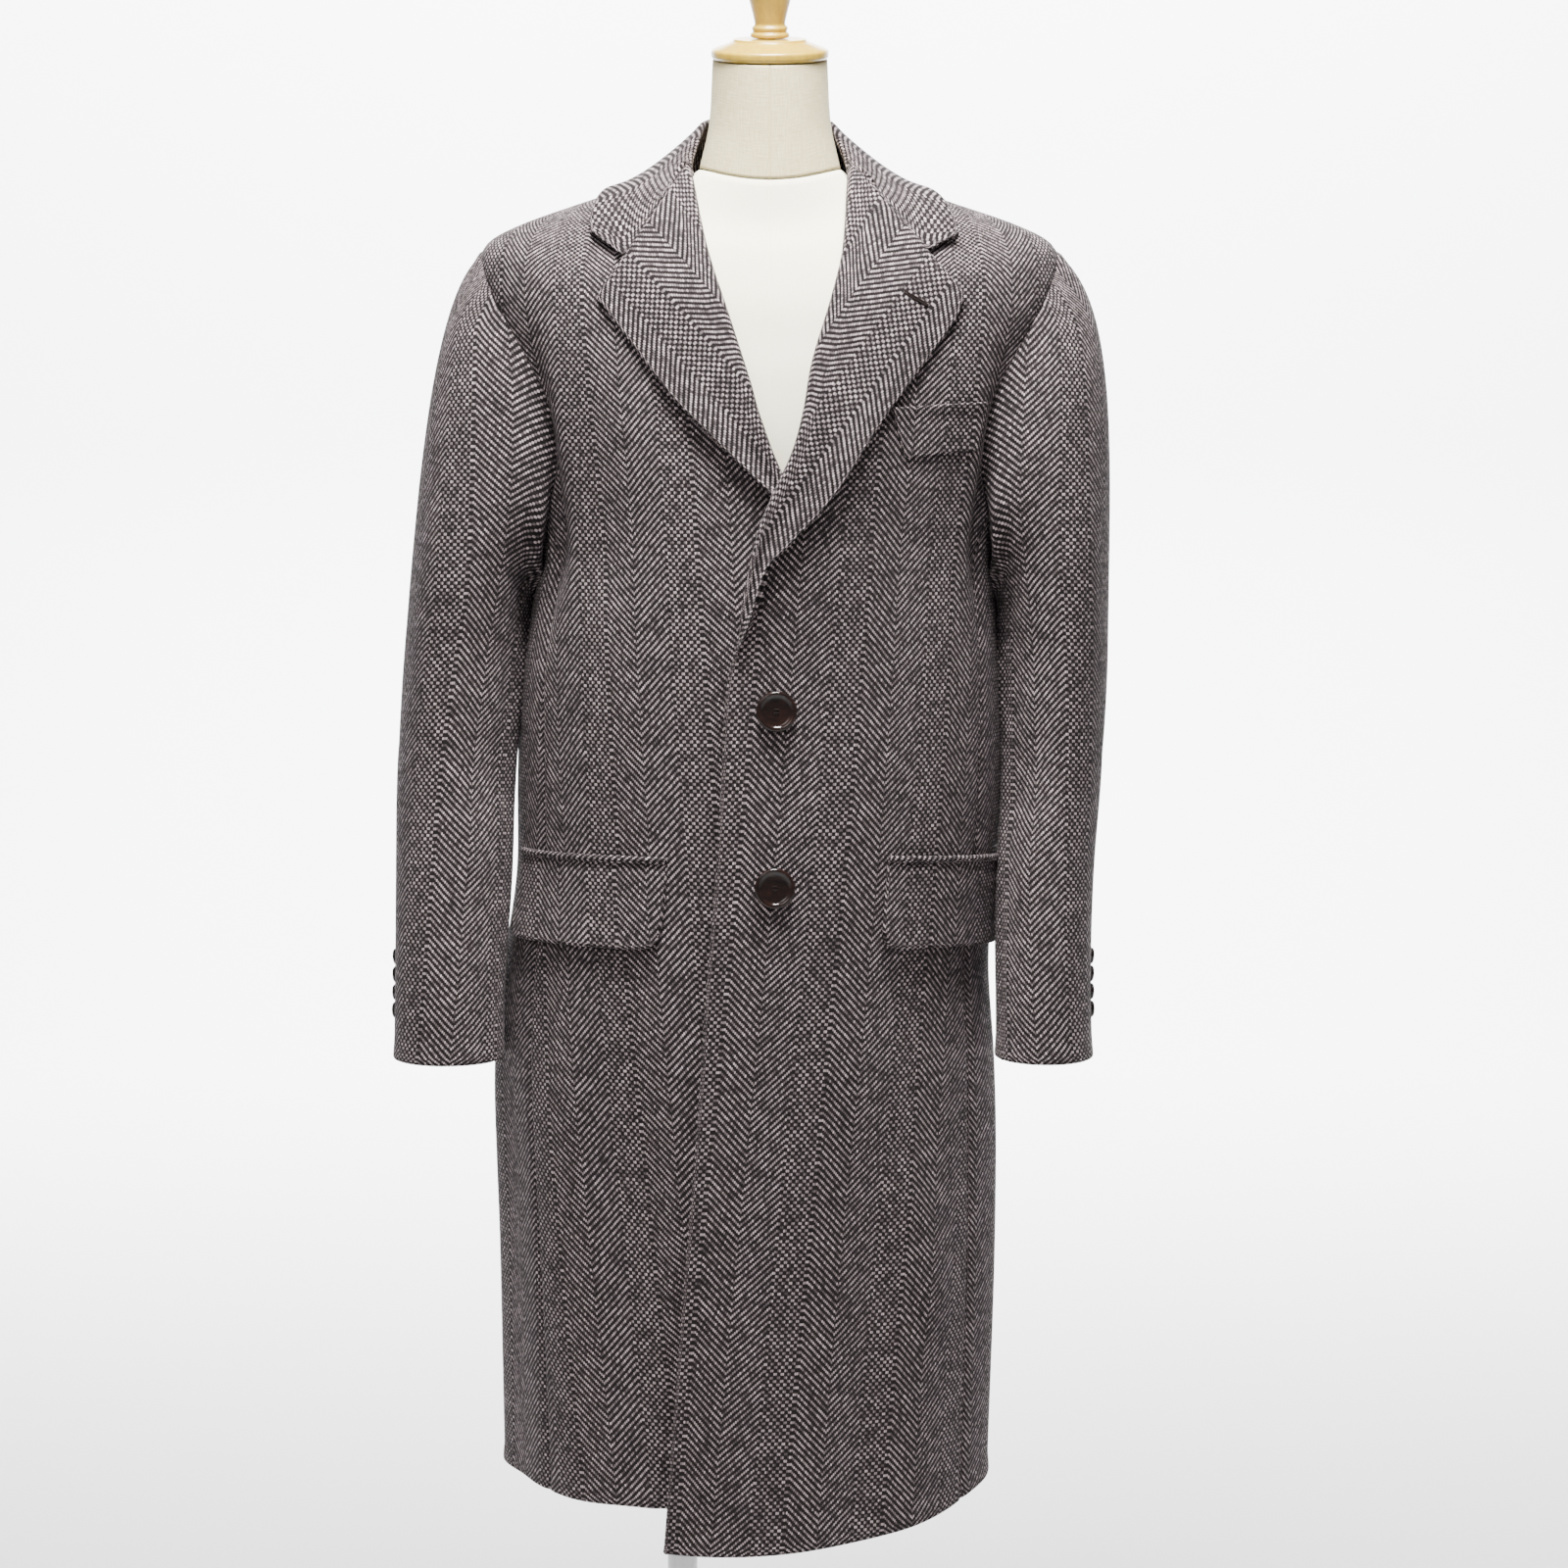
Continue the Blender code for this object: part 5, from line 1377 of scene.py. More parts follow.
@dataclass
class Sleeve:
    """A two-piece sleeve, hanging from its armhole."""

    block: CoatBlock
    finishes: Finishes
    side: Side
    top_ring: float = 1.06
    cuff: float = 0.708
    inset: float = 0.990
    tuck: float = 0.0035
    head_over: Sided[float] = Sided(0.056, 0.040)
    head_under: Sided[float] = Sided(0.020, 0.018)
    head_drop: float = 0.45
    fore_seam: float = math.radians(152)
    hind_seam_top: float = math.radians(-70)
    hind_seam_cuff: float = math.radians(-28)
    cloth: float = 0.0026
    cuff_cloth: float = 0.0014
    cuff_fade: float = 0.05
    seam_gap: float = 0.0002
    mean_radius: float = 0.1
    point_turns: Sided[Spot] = Sided((123.0, 121.0, 99.0), (133.0, 124.0, 97.0))
    point_rise: float = 0.176
    cap_low: float = 1.265
    cap_rise: float = 0.07
    seam_ridge: float = 0.0018
    ridge_at: float = 0.04
    ridge_width: float = 0.032
    head_rows: int = 44
    arm_rows: int = 62

    def __post_init__(self) -> None:
        """Make the curves of the rings, the armhole's centre, the flat measure and the creases."""
        self.rings = curves(SLEEVE_RINGS[self.side])
        self.centre = self.armhole(np.linspace(0, 2 * np.pi, 25)[:-1]).mean(axis=0)
        around = np.radians(np.arange(-180.0, 365.0, 4.0))
        self.flat = FlatMap(self.point, around, np.linspace(0, 2, 81))
        self.drape = Drape(self.flat, SLEEVE_CREASES[self.side])

    def armhole(self, turn: Array) -> Array:
        """Return the armhole's edge: turn 0 at the shoulder, 90 degrees in front, 180 under the arm.

        Args:
            turn: Turns round it.
        Returns:
            Points of the edge.
        """
        block = self.block
        reach = np.where(np.sin(turn) > 0, ARM_REACH[Seam.FRONT], ARM_REACH[Seam.BACK])
        angle = self.side.value * (block.arm_angle - reach * np.sin(turn))
        return block.out(self.side, angle, block.arm_middle + block.arm_half * np.cos(turn))

    def ring(self, turn: Array, z: Values) -> Array:
        """Return points of the hanging sleeve below its head.

        Args:
            turn: Turns round it.
            z: Heights.
        Returns:
            Points of the sleeve.
        """
        turn, z = paired(turn, z)
        size = {name: curve(z) for name, curve in self.rings.items()}
        middle = (size["outer_x"] + size["inner_x"]) / 2
        half = (size["outer_x"] - size["inner_x"]) / 2
        y = size["middle_y"] - size["half_depth"] * np.sin(turn)
        return np.stack((middle + half * np.cos(turn), y, z), axis=-1)

    def point(self, turn: Values, down: Values) -> Array:
        """Return sleeve points; down runs 0 to 1 over the head and 1 to 2 to the cuff.

        Args:
            turn: Turns round it.
            down: Places along it.
        Returns:
            Points of the sleeve.
        """
        turn, down = paired(turn, down)
        low = self.ring(turn, self.top_ring + (self.cuff - self.top_ring) * np.maximum(down - 1, 0.0))
        start = self.centre + (self.armhole(turn) - self.centre) * self.inset
        end = self.ring(turn, self.top_ring)
        cosine = np.cos(turn)
        way = (self.side.value * (0.62 + 0.26 * cosine), -0.3 * np.sin(turn), 0.13 * cosine - 0.6)
        leave = unit(np.stack(way, axis=-1))
        drop = unit(end - self.ring(turn, self.top_ring - 0.02))
        over, under = self.head_over[self.side], self.head_under[self.side]
        first = start + leave * ((over + under) / 2 + (over - under) / 2 * cosine)[..., None]
        start = start - leave * self.tuck
        second = end + drop * self.head_drop * np.linalg.norm(end - start, axis=-1, keepdims=True)
        t = np.clip(down, 0.0, 1.0)[..., None]
        rest = 1 - t
        head = start * rest**3 + first * 3 * rest**2 * t + second * 3 * rest * t**2 + end * t**3
        return np.where((down >= 1)[..., None], low, head)

    def normal(self, turn: Values, down: Values) -> Array:
        """Return directions out of the sleeve at turns and places along it."""
        return outward(self.point, turn, down, 0.002) * self.side.value

    def out(self, turn: Array, down: Array, distance: Values = 0.0) -> Array:
        """Return sleeve points moved out from the cloth's outer side.

        Args:
            turn: Turns round it.
            down: Places along it.
            distance: How far out.
        Returns:
            The points.
        """
        lift = self.drape.lift(turn, down) * ease(0.0, 0.15, down) + distance
        ridge = np.exp(-(((down - self.ridge_at) / self.ridge_width) ** 2))
        lift = lift + self.seam_ridge * ease(-0.15, 0.4, np.cos(turn)) * ridge
        return self.point(turn, down) + self.normal(turn, down) * np.asarray(lift)[..., None]

    def spots(self, under: bool, down: Array, columns: int) -> tuple[Array, Array]:
        """Return a grid on the top or under sleeve; the hind seam comes round to the outside at the cuff.

        Args:
            under: True for the under sleeve.
            down: Places along the sleeve.
            columns: Columns across the piece.
        Returns:
            Grids of turns and of places along.
        """
        down = down[:, None]
        gap = self.seam_gap / self.mean_radius
        low = self.hind_seam_top + (self.hind_seam_cuff - self.hind_seam_top) * ease(0, 2, down) + gap
        high = np.full_like(down, self.fore_seam - gap)
        if under:
            low, high = high + 2 * gap, 2 * np.pi + low - 2 * gap
        turn = low + (high - low) * np.linspace(0, 1, columns)[None, :]
        return turn, np.array(np.broadcast_to(down, turn.shape))

    def arm_flat(self, turn: Array, down: Values) -> Array:
        """Return flat coordinates below the head: round from the outside and up from the cuff."""
        around, fallen = np.moveaxis(self.flat.place(turn, down), -1, 0)
        return np.stack((around, self.flat.length("along", turn, 2.0) - fallen), axis=-1)

    def head_flat(self, turn: Array, down: Array) -> Array:
        """Return flat coordinates of the head, straight up from the arm below it.

        Args:
            turn: Turns round it.
            down: Places along it.
        Returns:
            Flat coordinates.
        """
        points = self.point(turn, down)
        ring = {name: float(curve(self.top_ring)) for name, curve in self.rings.items()}
        middle = (ring["outer_x"] + ring["inner_x"]) / 2
        aside = (points[..., 0] - middle) / (ring["outer_x"] - middle)
        aside = aside + (np.maximum(points[..., 2] - self.cap_low, 0.0) / self.cap_rise) ** 2
        forward = (ring["middle_y"] - points[..., 1]) / ring["half_depth"]
        shift = np.arctan2(forward, aside) - turn
        turned = turn + np.mod(shift + np.pi, 2 * np.pi) - np.pi
        around = self.flat.length("around", turned, 1.0)
        steps = np.linalg.norm(np.diff(points, axis=0), axis=-1)
        rises = np.sqrt(np.maximum(steps**2 - np.diff(around, axis=0) ** 2, (0.2 * steps) ** 2))
        up = np.broadcast_to(self.arm_flat(turn[-1], 1.0)[:, 1], around.shape).copy()
        up[:-1] += np.cumsum(rises[::-1], axis=0)[::-1]
        return np.stack((around, up), axis=-1)

    def straight(self, flat: Array) -> Array:
        """Return flat coordinates measured from the straight line on which the twill turns.

        Args:
            flat: Flat coordinates.
        Returns:
            Flat coordinates from that line.
        """
        top, ring, cuff = np.radians(self.point_turns[self.side])
        marks = np.array([self.arm_flat(*place) for place in ((cuff, 2.0), (ring, 1.0), (top, 1.0))])
        marks[2, 1] += self.point_rise
        line = Curve(marks[:, 1], marks[:, 0])(flat[..., 1])
        return np.stack((self.side.value * (line - flat[..., 0]), flat[..., 1]), axis=-1)

    def panel(self, node: str, columns: int, under: bool) -> None:
        """Build the top or under sleeve.

        Args:
            node: Its solid, without the side.
            columns: Columns across it.
            under: True for the under sleeve.
        """
        rows = self.head_rows
        down = np.r_[np.linspace(0, 1, rows), np.linspace(1, 2, self.arm_rows)[1:]]
        turn, level = self.spots(under, down, columns)
        extra = self.cuff_cloth * ease(2 - self.cuff_fade, 2.0, level)
        outer = self.out(turn, level, extra * 0.6)
        head = self.head_flat(turn[:rows], level[:rows])
        flat = self.straight(np.concatenate((head, self.arm_flat(turn, level)[rows:])))
        leaf = Leaf(node + self.side.word, outer, flat, self.cloth + extra, self.side.value)
        leaf.build(self.finishes.cloth, "form_torso")

    def build(self) -> None:
        """Build both pieces."""
        self.panel("top_sleeve_", 42, False)
        self.panel("under_sleeve_", 32, True)


@dataclass
class LapelsAndCollar:
    """The rolled lapels, the collar and the lapel's buttonhole."""

    block: CoatBlock
    finishes: Finishes
    cloth: float = 0.0034
    low_z: Sided[float] = Sided(1.050, 1.132)
    gorge_top: float = 1.3955
    roll_height: float = 0.0068
    roll_gap: float = 0.0019
    low_roll: float = 0.35
    flat_start: float = 0.14
    gorge_gap: float = -0.0008
    edge_height: float = 0.0032
    edge_spring: float = 0.0056
    notch_share: Sided[float] = Sided(0.655, 0.680)
    collar_points: Sided[Mark] = Sided(Mark(1.343, 0.156), Mark(1.344, -0.122))
    end_blend: float = 0.66
    collar_turn: float = math.radians(115)
    stand_gap: float = 0.0030
    stand_inset: float = 0.0013
    leaf_turn: float = 0.62
    leaf_sag: float = 0.004
    fold_round: float = 0.0048
    leaf_out: float = 0.0042
    curl_steps: int = 5
    pattern: float = 0.081
    edge_pattern: float = 0.0084
    buttonhole: tuple[Mark, Mark] = (Mark(1.2995, 0.1150), Mark(1.2905, 0.1316))
    buttonhole_half: float = 0.00085
    buttonhole_eye: float = 0.0008
    cord: float = 0.0009
    cord_sides: int = 10

    def folded(self, side: Side, start: Mark, path: Mark, share: Array, size: Array, curl: int) -> Array:
        """Return the middle of cloth rolled back over an edge and laid on the front.

        Args:
            side: Which side.
            start: Where each row rolls over.
            path: Where each row lies, by row and column.
            share: Shares of the way along a row.
            size: Share of the full height in each row's roll.
            curl: Points on the roll.
        Returns:
            Grid of points.
        """
        skin = self.block.skin
        angle, station = skin.seen_at(start.x, start.z)
        normal = skin.normal(angle, station)
        base = self.block.out(side, angle, station)
        roll = self.roll_height * size[:, None]
        height = roll + (self.edge_height - roll) * ease(0, 1, share)
        flat = self.block.out(side, *skin.seen_at(path.x, path.z), height)
        toward = flat[:, 0] - base
        toward = unit(toward - normal * (toward * normal).sum(-1, keepdims=True))
        radius = (roll + self.cloth / 2) / 2
        centre = base + normal * (roll - radius) - toward * self.roll_gap
        turn = np.linspace(-np.pi / 2, np.pi / 2, curl)[None, :, None]
        radius = radius[:, None]
        rolled = centre[:, None] + radius * (normal[:, None] * np.sin(turn) - toward[:, None] * np.cos(turn))
        return np.concatenate((rolled, flat), axis=1)

    def lapel_middle(self, side: Side, along: Array, columns: int, curl: int) -> Array:
        """Return the grid of a lapel's middle, from its roll to its outer edge.

        Args:
            side: Which lapel.
            along: Shares of the way up it.
            columns: Columns on its flat part.
            curl: Columns on its roll.
        Returns:
            Grid of points.
        """
        edge = LAPEL_EDGES[side]
        roll_z = self.low_z[side] + (self.gorge_top - self.low_z[side]) * along
        edge_z = edge[0].z + (edge[-1].z - edge[0].z) * along
        start = Mark(roll_z, self.block.lines[side](roll_z))
        end = Mark(edge_z, curves(edge)["x"](edge_z))
        share = np.linspace(self.flat_start, 1, columns)[None, :]
        path = Mark(*(low[:, None] + (high - low)[:, None] * share for low, high in zip(start, end)))
        size = self.low_roll + (1 - self.low_roll) * ease(0, 0.25, along)
        return self.folded(side, start, path, share, size, curl)

    def lapel(self, side: Side) -> None:
        """Build a lapel lying on its front."""
        rows, columns, curl = 110, 38, 12
        along = np.linspace(0, 1, rows)
        middle = self.lapel_middle(side, along, columns, curl)
        normal = unit(np.cross(np.gradient(middle, axis=1), np.gradient(middle, axis=0))) * side.value
        share = np.r_[np.zeros(curl), np.linspace(0, 1, columns)][None, :]
        along = along[:, None]
        spring = self.edge_spring * ease(0.35, 1.0, share) * (1 - ease(0.35, 0.8, along))
        spring = spring * ease(0.0, 0.12, along)
        outer = middle + normal * (self.cloth / 2 + spring)[..., None]
        first, last = (LAPEL_EDGES[side][k] for k in (-6, -2))
        way = np.array((last.x - first.x, last.z - first.z))
        way = way / np.linalg.norm(way)
        seen = outer[..., ::2] - np.array((first.x, first.z))
        inward = -side.value * (seen[..., 0] * way[1] - seen[..., 1] * way[0])
        rolled = run(outer, 1)
        inward[:, :curl] = inward[:, curl : curl + 1] + (rolled[:, curl : curl + 1] - rolled[:, :curl])
        up = seen @ way
        up[:, :curl] = up[:, curl : curl + 1]
        across = self.edge_pattern + inward
        flat = np.stack((across if side is Side.RIGHT else self.pattern - across, up), axis=-1)
        leaf = Leaf("lapel_" + side.word, outer, flat, self.cloth, side.value)
        leaf.build(self.finishes.cloth, "front_%s_cloth" % side.word)

    def collar_end(self, side: Side) -> Array:
        """Return the collar's front row: along the gorge to the notch and out to the collar point."""
        top = np.array((self.gorge_top, float(self.block.lines[side](self.gorge_top))))
        point = np.array(LAPEL_EDGES[side][-1])
        fall, reach = top - point
        step = np.array((abs(reach), fall * side.value)) * self.gorge_gap / math.hypot(reach, fall)
        start = top + step
        notch = top + (point - top) * self.notch_share[side] + step
        tip = np.array(self.collar_points[side])
        shares = np.linspace(self.flat_start, 1, 4)
        spots = [start + (notch - start) * share for share in shares]
        spots += [notch + (tip - notch) * share for share in (0.5, 1.0)]
        share = np.r_[shares * 0.7, 0.85, 1.0][None, :]
        path = Mark(*np.array(spots).T[:, None])
        return self.folded(side, Mark(*start[:, None]), path, share, np.ones(1), self.curl_steps)[0]

    def collar_sections(self, side: Side, turn: Array) -> Array:
        """Return rows of the collar's middle: up the stand, over the fold and down the leaf.

        Args:
            side: Which half.
            turn: Shares of the way from back to front.
        Returns:
            Rows of points.
        """
        skin = self.block.skin
        size = {name: curve(turn) for name, curve in curves(COLLAR_FOLDS).items()}
        angle = side.value * (np.pi - turn * self.collar_turn)
        seam = np.full_like(turn, self.block.neck_seam)
        low = seam + self.stand_gap
        base = skin.point(angle, low) - skin.normal(angle, low) * self.stand_inset
        level_out = skin.normal(angle, seam) * np.array((1.0, 1.0, 0.0))
        fold = base - unit(level_out) * size["inward"][:, None]
        fold[:, 2] += size["up"]
        end_angle, end_station = skin.seen_at(self.collar_points[side].x, self.collar_points[side].z)
        share = ease(self.leaf_turn, 1.0, turn)
        leaf_angle = angle + (end_angle - angle) * share
        leaf_station = size["leaf_station"] + (end_station - size["leaf_station"]) * share
        edge = skin.point(leaf_angle, leaf_station) + skin.normal(leaf_angle, leaf_station) * self.leaf_out
        rise, fall = unit(fold - base), unit(edge - fold)
        half = self.fold_round
        row = [base, base + (fold - base) * 0.45, fold - rise * half]
        row.append(fold - rise * half * 0.25 + fall * half * 0.25 + np.array((0, 0, half * 0.1)))
        row.append(fold + fall * half)
        for step in np.linspace(self.flat_start, 1, 6):
            point = fold + (edge - fold) * step - np.array((0, 0, self.leaf_sag * math.sin(math.pi * step)))
            row.append(skin.clear(point, leaf_angle, leaf_station, self.leaf_out))
        return np.stack(row, axis=1)

    def collar(self) -> None:
        """Build the stand and leaf in one piece from one front round the neck to the other."""
        skin = self.block.skin
        halves = []
        for side in (Side.RIGHT, Side.LEFT):
            turn = np.linspace(1, 0, 90) if side is Side.RIGHT else np.linspace(0, 1, 90)[1:]
            share = ease(self.end_blend, 1.0, turn)[:, None, None]
            rows = self.collar_sections(side, turn) * (1 - share) + self.collar_end(side)[None] * share
            angle = side.value * (np.pi - turn * self.collar_turn)
            leaf = rows[:, self.curl_steps :]
            near = np.broadcast_to(angle[:, None], leaf.shape[:2])
            low = np.full_like(near, self.block.neck_seam - 0.04)
            rows[:, self.curl_steps :] = skin.clear(leaf, near, low, self.leaf_out)
            halves.append(rows)
        coarse = np.concatenate(halves)
        knots = np.arange(coarse.shape[1], dtype=float)
        fine = np.r_[np.linspace(0, 4, 22)[:-1], np.linspace(4, 10, 34)]
        middle = np.stack([np.stack([Curve(knots, line)(fine) for line in row.T], axis=-1) for row in coarse])
        normal = -unit(np.cross(np.gradient(middle, axis=1), np.gradient(middle, axis=0)))
        outer = middle + normal * self.cloth / 2
        length = run(outer, 0)[:, 21]
        across = run(outer, 1)
        flat = np.stack((np.broadcast_to((length - length.mean())[:, None], across.shape), -across), axis=-1)
        leaf = Leaf("collar", outer, flat, self.cloth, -1)
        leaf.build(self.finishes.cloth, "form_neck", "front_left_cloth", "front_right_cloth")

    def lapel_buttonhole(self) -> None:
        """Sew the buttonhole on the left lapel: a closed slit with a worked edge."""
        (low_z, low_x), (high_z, high_x) = self.buttonhole
        turn = np.linspace(0, 2 * np.pi, 49)
        along = np.clip(np.cos(turn) * 1.25, -1, 1)
        aside = np.sin(turn) * (self.buttonhole_half + self.buttonhole_eye * ease(0.55, 1.0, -np.cos(turn)))
        centre = np.array(((low_x + high_x) / 2, (low_z + high_z) / 2))
        half = np.array(((high_x - low_x) / 2, (high_z - low_z) / 2))
        side = np.array((-half[1], half[0])) / np.linalg.norm(half)
        spots = centre + along[:, None] * half + aside[:, None] * side
        angle, station = self.block.skin.seen_at(spots[:, 0], spots[:, 1])
        normal = self.block.skin.normal(angle, station)
        path = self.block.out(Side.LEFT, angle, station, self.edge_height + self.cloth / 2 + self.cord)
        path[-1] = path[0]
        ahead = unit(np.roll(path[:-1], -1, axis=0) - np.roll(path[:-1], 1, axis=0))
        ahead = np.concatenate((ahead, ahead[:1]))
        across = unit(np.cross(ahead, normal))
        turn = np.linspace(0, -2 * np.pi, self.cord_sides + 1)[None, :, None]
        points = across[:, None] * np.cos(turn) + normal[:, None] * np.sin(turn)
        points = path[:, None] + self.cord * points
        points[:, -1] = points[:, 0]
        points[-1] = points[0]
        mesh = grid_mesh("lapel_buttonhole", points, points[..., ::2])
        finish_piece("lapel_buttonhole", mesh, self.finishes.thread, "coat_cloth")

    def build(self) -> None:
        """Build the lapels, the collar and the buttonhole."""
        for side in Side:
            self.lapel(side)
        self.collar()
        self.lapel_buttonhole()


@dataclass
class Pockets:
    """The hip pocket flaps with their piped edges, and the breast welt."""

    block: CoatBlock
    finishes: Finishes
    flap_top: float = 0.868
    flap_bottom: float = 0.803
    flap_cloth: float = 0.0036
    flap_corner: float = 0.012
    flap_stand: float = 0.0026
    flap_pattern: float = 0.0027
    mean_radius: float = 0.175
    trim_gap: float = 0.0005
    jet_height: float = 0.0052
    jet_cloth: float = 0.0016
    jet_round: float = 0.0030
    jet_pattern: float = 0.0135
    spans: Sided[tuple[float, float]] = Sided((31.2, 83.0), (20.7, 72.0))
    welt_top: tuple[Mark, Mark] = (Mark(1.2135, 0.104), Mark(1.2195, 0.177))
    welt_bottom: tuple[Mark, Mark] = (Mark(1.1760, 0.115), Mark(1.1820, 0.170))
    welt_cloth: float = 0.0016
    welt_lift: float = 0.0018
    slopes: Sided[float] = Sided(0.009, 0.002)

    def flap(self, side: Side) -> None:
        """Build a flap on its front, hanging a little away at the bottom."""
        low, high = np.radians(self.spans[side])
        even = np.linspace(0, 1, 64)
        across = (0.6 * (1 - np.cos(np.linspace(0, np.pi, 64))) / 2 + 0.4 * even)[None, :]
        down = np.linspace(1, 0, 26)[:, None]
        near = np.minimum(across, 1 - across) * (high - low) * self.mean_radius
        cut = np.maximum(self.flap_corner - near, 0.0) / self.flap_corner
        bottom = self.flap_bottom + self.flap_corner * (1 - np.sqrt(np.maximum(1 - cut**2, 0.0)))
        station = self.flap_top + (bottom - self.flap_top) * down - self.slopes[side] * across
        angle = side.value * (low + (high - low) * across)
        thick = self.flap_cloth * (0.5 + 0.5 * ease(0.0, 0.14, down))
        outer = self.block.out(side, angle, station, self.trim_gap + self.flap_stand * down**2 + thick)
        flat = self.block.front_flat(side, angle, station) + np.array((self.flap_pattern, 0.0))
        leaf = Leaf("flap_" + side.word, outer, flat, thick, side.value)
        leaf.build(self.finishes.cloth, "front_%s_cloth" % side.word)

    def jet(self, side: Side) -> None:
        """Build the narrow piped edge above a flap."""
        across = np.linspace(0, 1, 70)[None, :]
        share = np.linspace(0, 1, 9)[:, None]
        station = self.flap_top + self.trim_gap + self.jet_height * (1 - np.cos(np.pi * share)) / 2
        station = station - self.slopes[side] * across
        angle = side.value * np.linspace(*np.radians(self.spans[side]), 70)[None, :]
        stand = self.trim_gap + self.jet_cloth + self.jet_round * np.sin(np.pi * share)
        outer = self.block.out(side, angle, station, stand)
        around, along = np.moveaxis(self.block.flat.place(angle, station), -1, 0)
        flat = np.stack((self.jet_pattern + along - along.mean(), around), axis=-1)
        leaf = Leaf("jet_" + side.word, outer, flat, self.jet_cloth, side.value)
        leaf.build(self.finishes.cloth, "front_%s_cloth" % side.word)

    def welt(self) -> None:
        """Build the slanting welt of the breast pocket on the left front."""
        across = np.linspace(0, 1, 34)[None, :, None]
        down = np.linspace(1, 0, 20)[:, None, None]
        upper, lower = (
            first + (last - first) * across for first, last in np.array((self.welt_top, self.welt_bottom))
        )
        spots = upper + (lower - upper) * down
        angle, station = self.block.skin.seen_at(spots[..., 1], spots[..., 0])
        stand = self.trim_gap + self.welt_cloth + self.welt_lift * (1 - ease(0.0, 0.35, down[..., 0]))
        outer = self.block.out(Side.LEFT, angle, station, stand)
        flat = self.block.front_flat(Side.LEFT, angle, station)
        leaf = Leaf("breast_welt", outer, flat, self.welt_cloth, Side.LEFT.value)
        leaf.build(self.finishes.cloth, "front_left_cloth")

    def build(self) -> None:
        """Build the flaps, the piped edges and the welt."""
        for side in Side:
            self.flap(side)
            self.jet(side)
        self.welt()


@dataclass
class Buttons:
    """The front buttons and the row on each cuff, each sewn on with thread."""

    block: CoatBlock
    sleeves: dict[Side, Sleeve]
    finishes: Finishes
    front_radius: float = 0.0156
    front_height: float = 0.0044
    cuff_radius: float = 0.0066
    cuff_height: float = 0.0033
    cuff_first: float = 0.742
    cuff_pitch: float = 0.0137
    cuff_count: int = 4
    cuff_turn: float = math.radians(-17)
    front_shank: float = 0.0010
    cuff_shank: float = 0.0008

    def button(self, node: str, radius: float, height: float, place: Matrix, steps: int) -> None:
        """Build one button, with a flat back, a round rim and a dished middle, and its thread.

        Args:
            node: Solid that it stands for.
            radius: Radius of the button.
            height: Height of its rim.
            place: Where it goes.
            steps: Sides of the turned shape.
        """
        shape = [Turn(radius * wide, height * tall) for wide, tall in BUTTON_PROFILE]
        name = node + "_piece"
        mesh = lathe(name, softened(shape, radius * 0.075), steps, place)
        finish_piece(name, mesh, self.finishes.button, "button", node)
        self.stitches(name + "_thread", radius * 0.15, height * 0.60, place)

    def stitches(self, name: str, span: float, height: float, place: Matrix) -> None:
        """Sew two short bars of thread across the middle of a button.

        Args:
            name: Name of the piece.
            span: Size of the stitches.
            height: Their height.
            place: Where the button is.
        """
        shape = bmesh.new()
        for aside in (-1, 1):
            made = bmesh.ops.create_uvsphere(shape, u_segments=10, v_segments=7, radius=span * 0.42)
            bmesh.ops.scale(shape, vec=(2.6, 1.0, 0.75), verts=made["verts"])
            bmesh.ops.translate(shape, vec=(0.0, aside * span * 0.55, height), verts=made["verts"])
        bmesh.ops.transform(shape, matrix=place, verts=shape.verts)
        finish_piece(name, mesh_of(shape, name), self.finishes.thread, "button")

    def build(self) -> None:
        """Build the front buttons and the cuff buttons."""
        for word, mark in FRONT_BUTTONS.items():
            angle, station = self.block.skin.seen_at(mark.x, mark.z)
            normal = self.block.skin.normal(angle, station)
            place = facing(normal, self.block.out(Side.LEFT, angle, station, self.front_shank))
            self.button("front_button_" + word, self.front_radius, self.front_height, place, 64)
        turn = np.array(self.cuff_turn)
        for side, sleeve in self.sleeves.items():
            for k in range(self.cuff_count):
                z = self.cuff_first + self.cuff_pitch * k
                down = np.array(1 + (z - sleeve.top_ring) / (sleeve.cuff - sleeve.top_ring))
                place = facing(sleeve.normal(turn, down), sleeve.out(turn, down, self.cuff_shank))
                node = "cuff_button_%s_%d" % (side.word, k + 1)
                self.button(node, self.cuff_radius, self.cuff_height, place, 40)


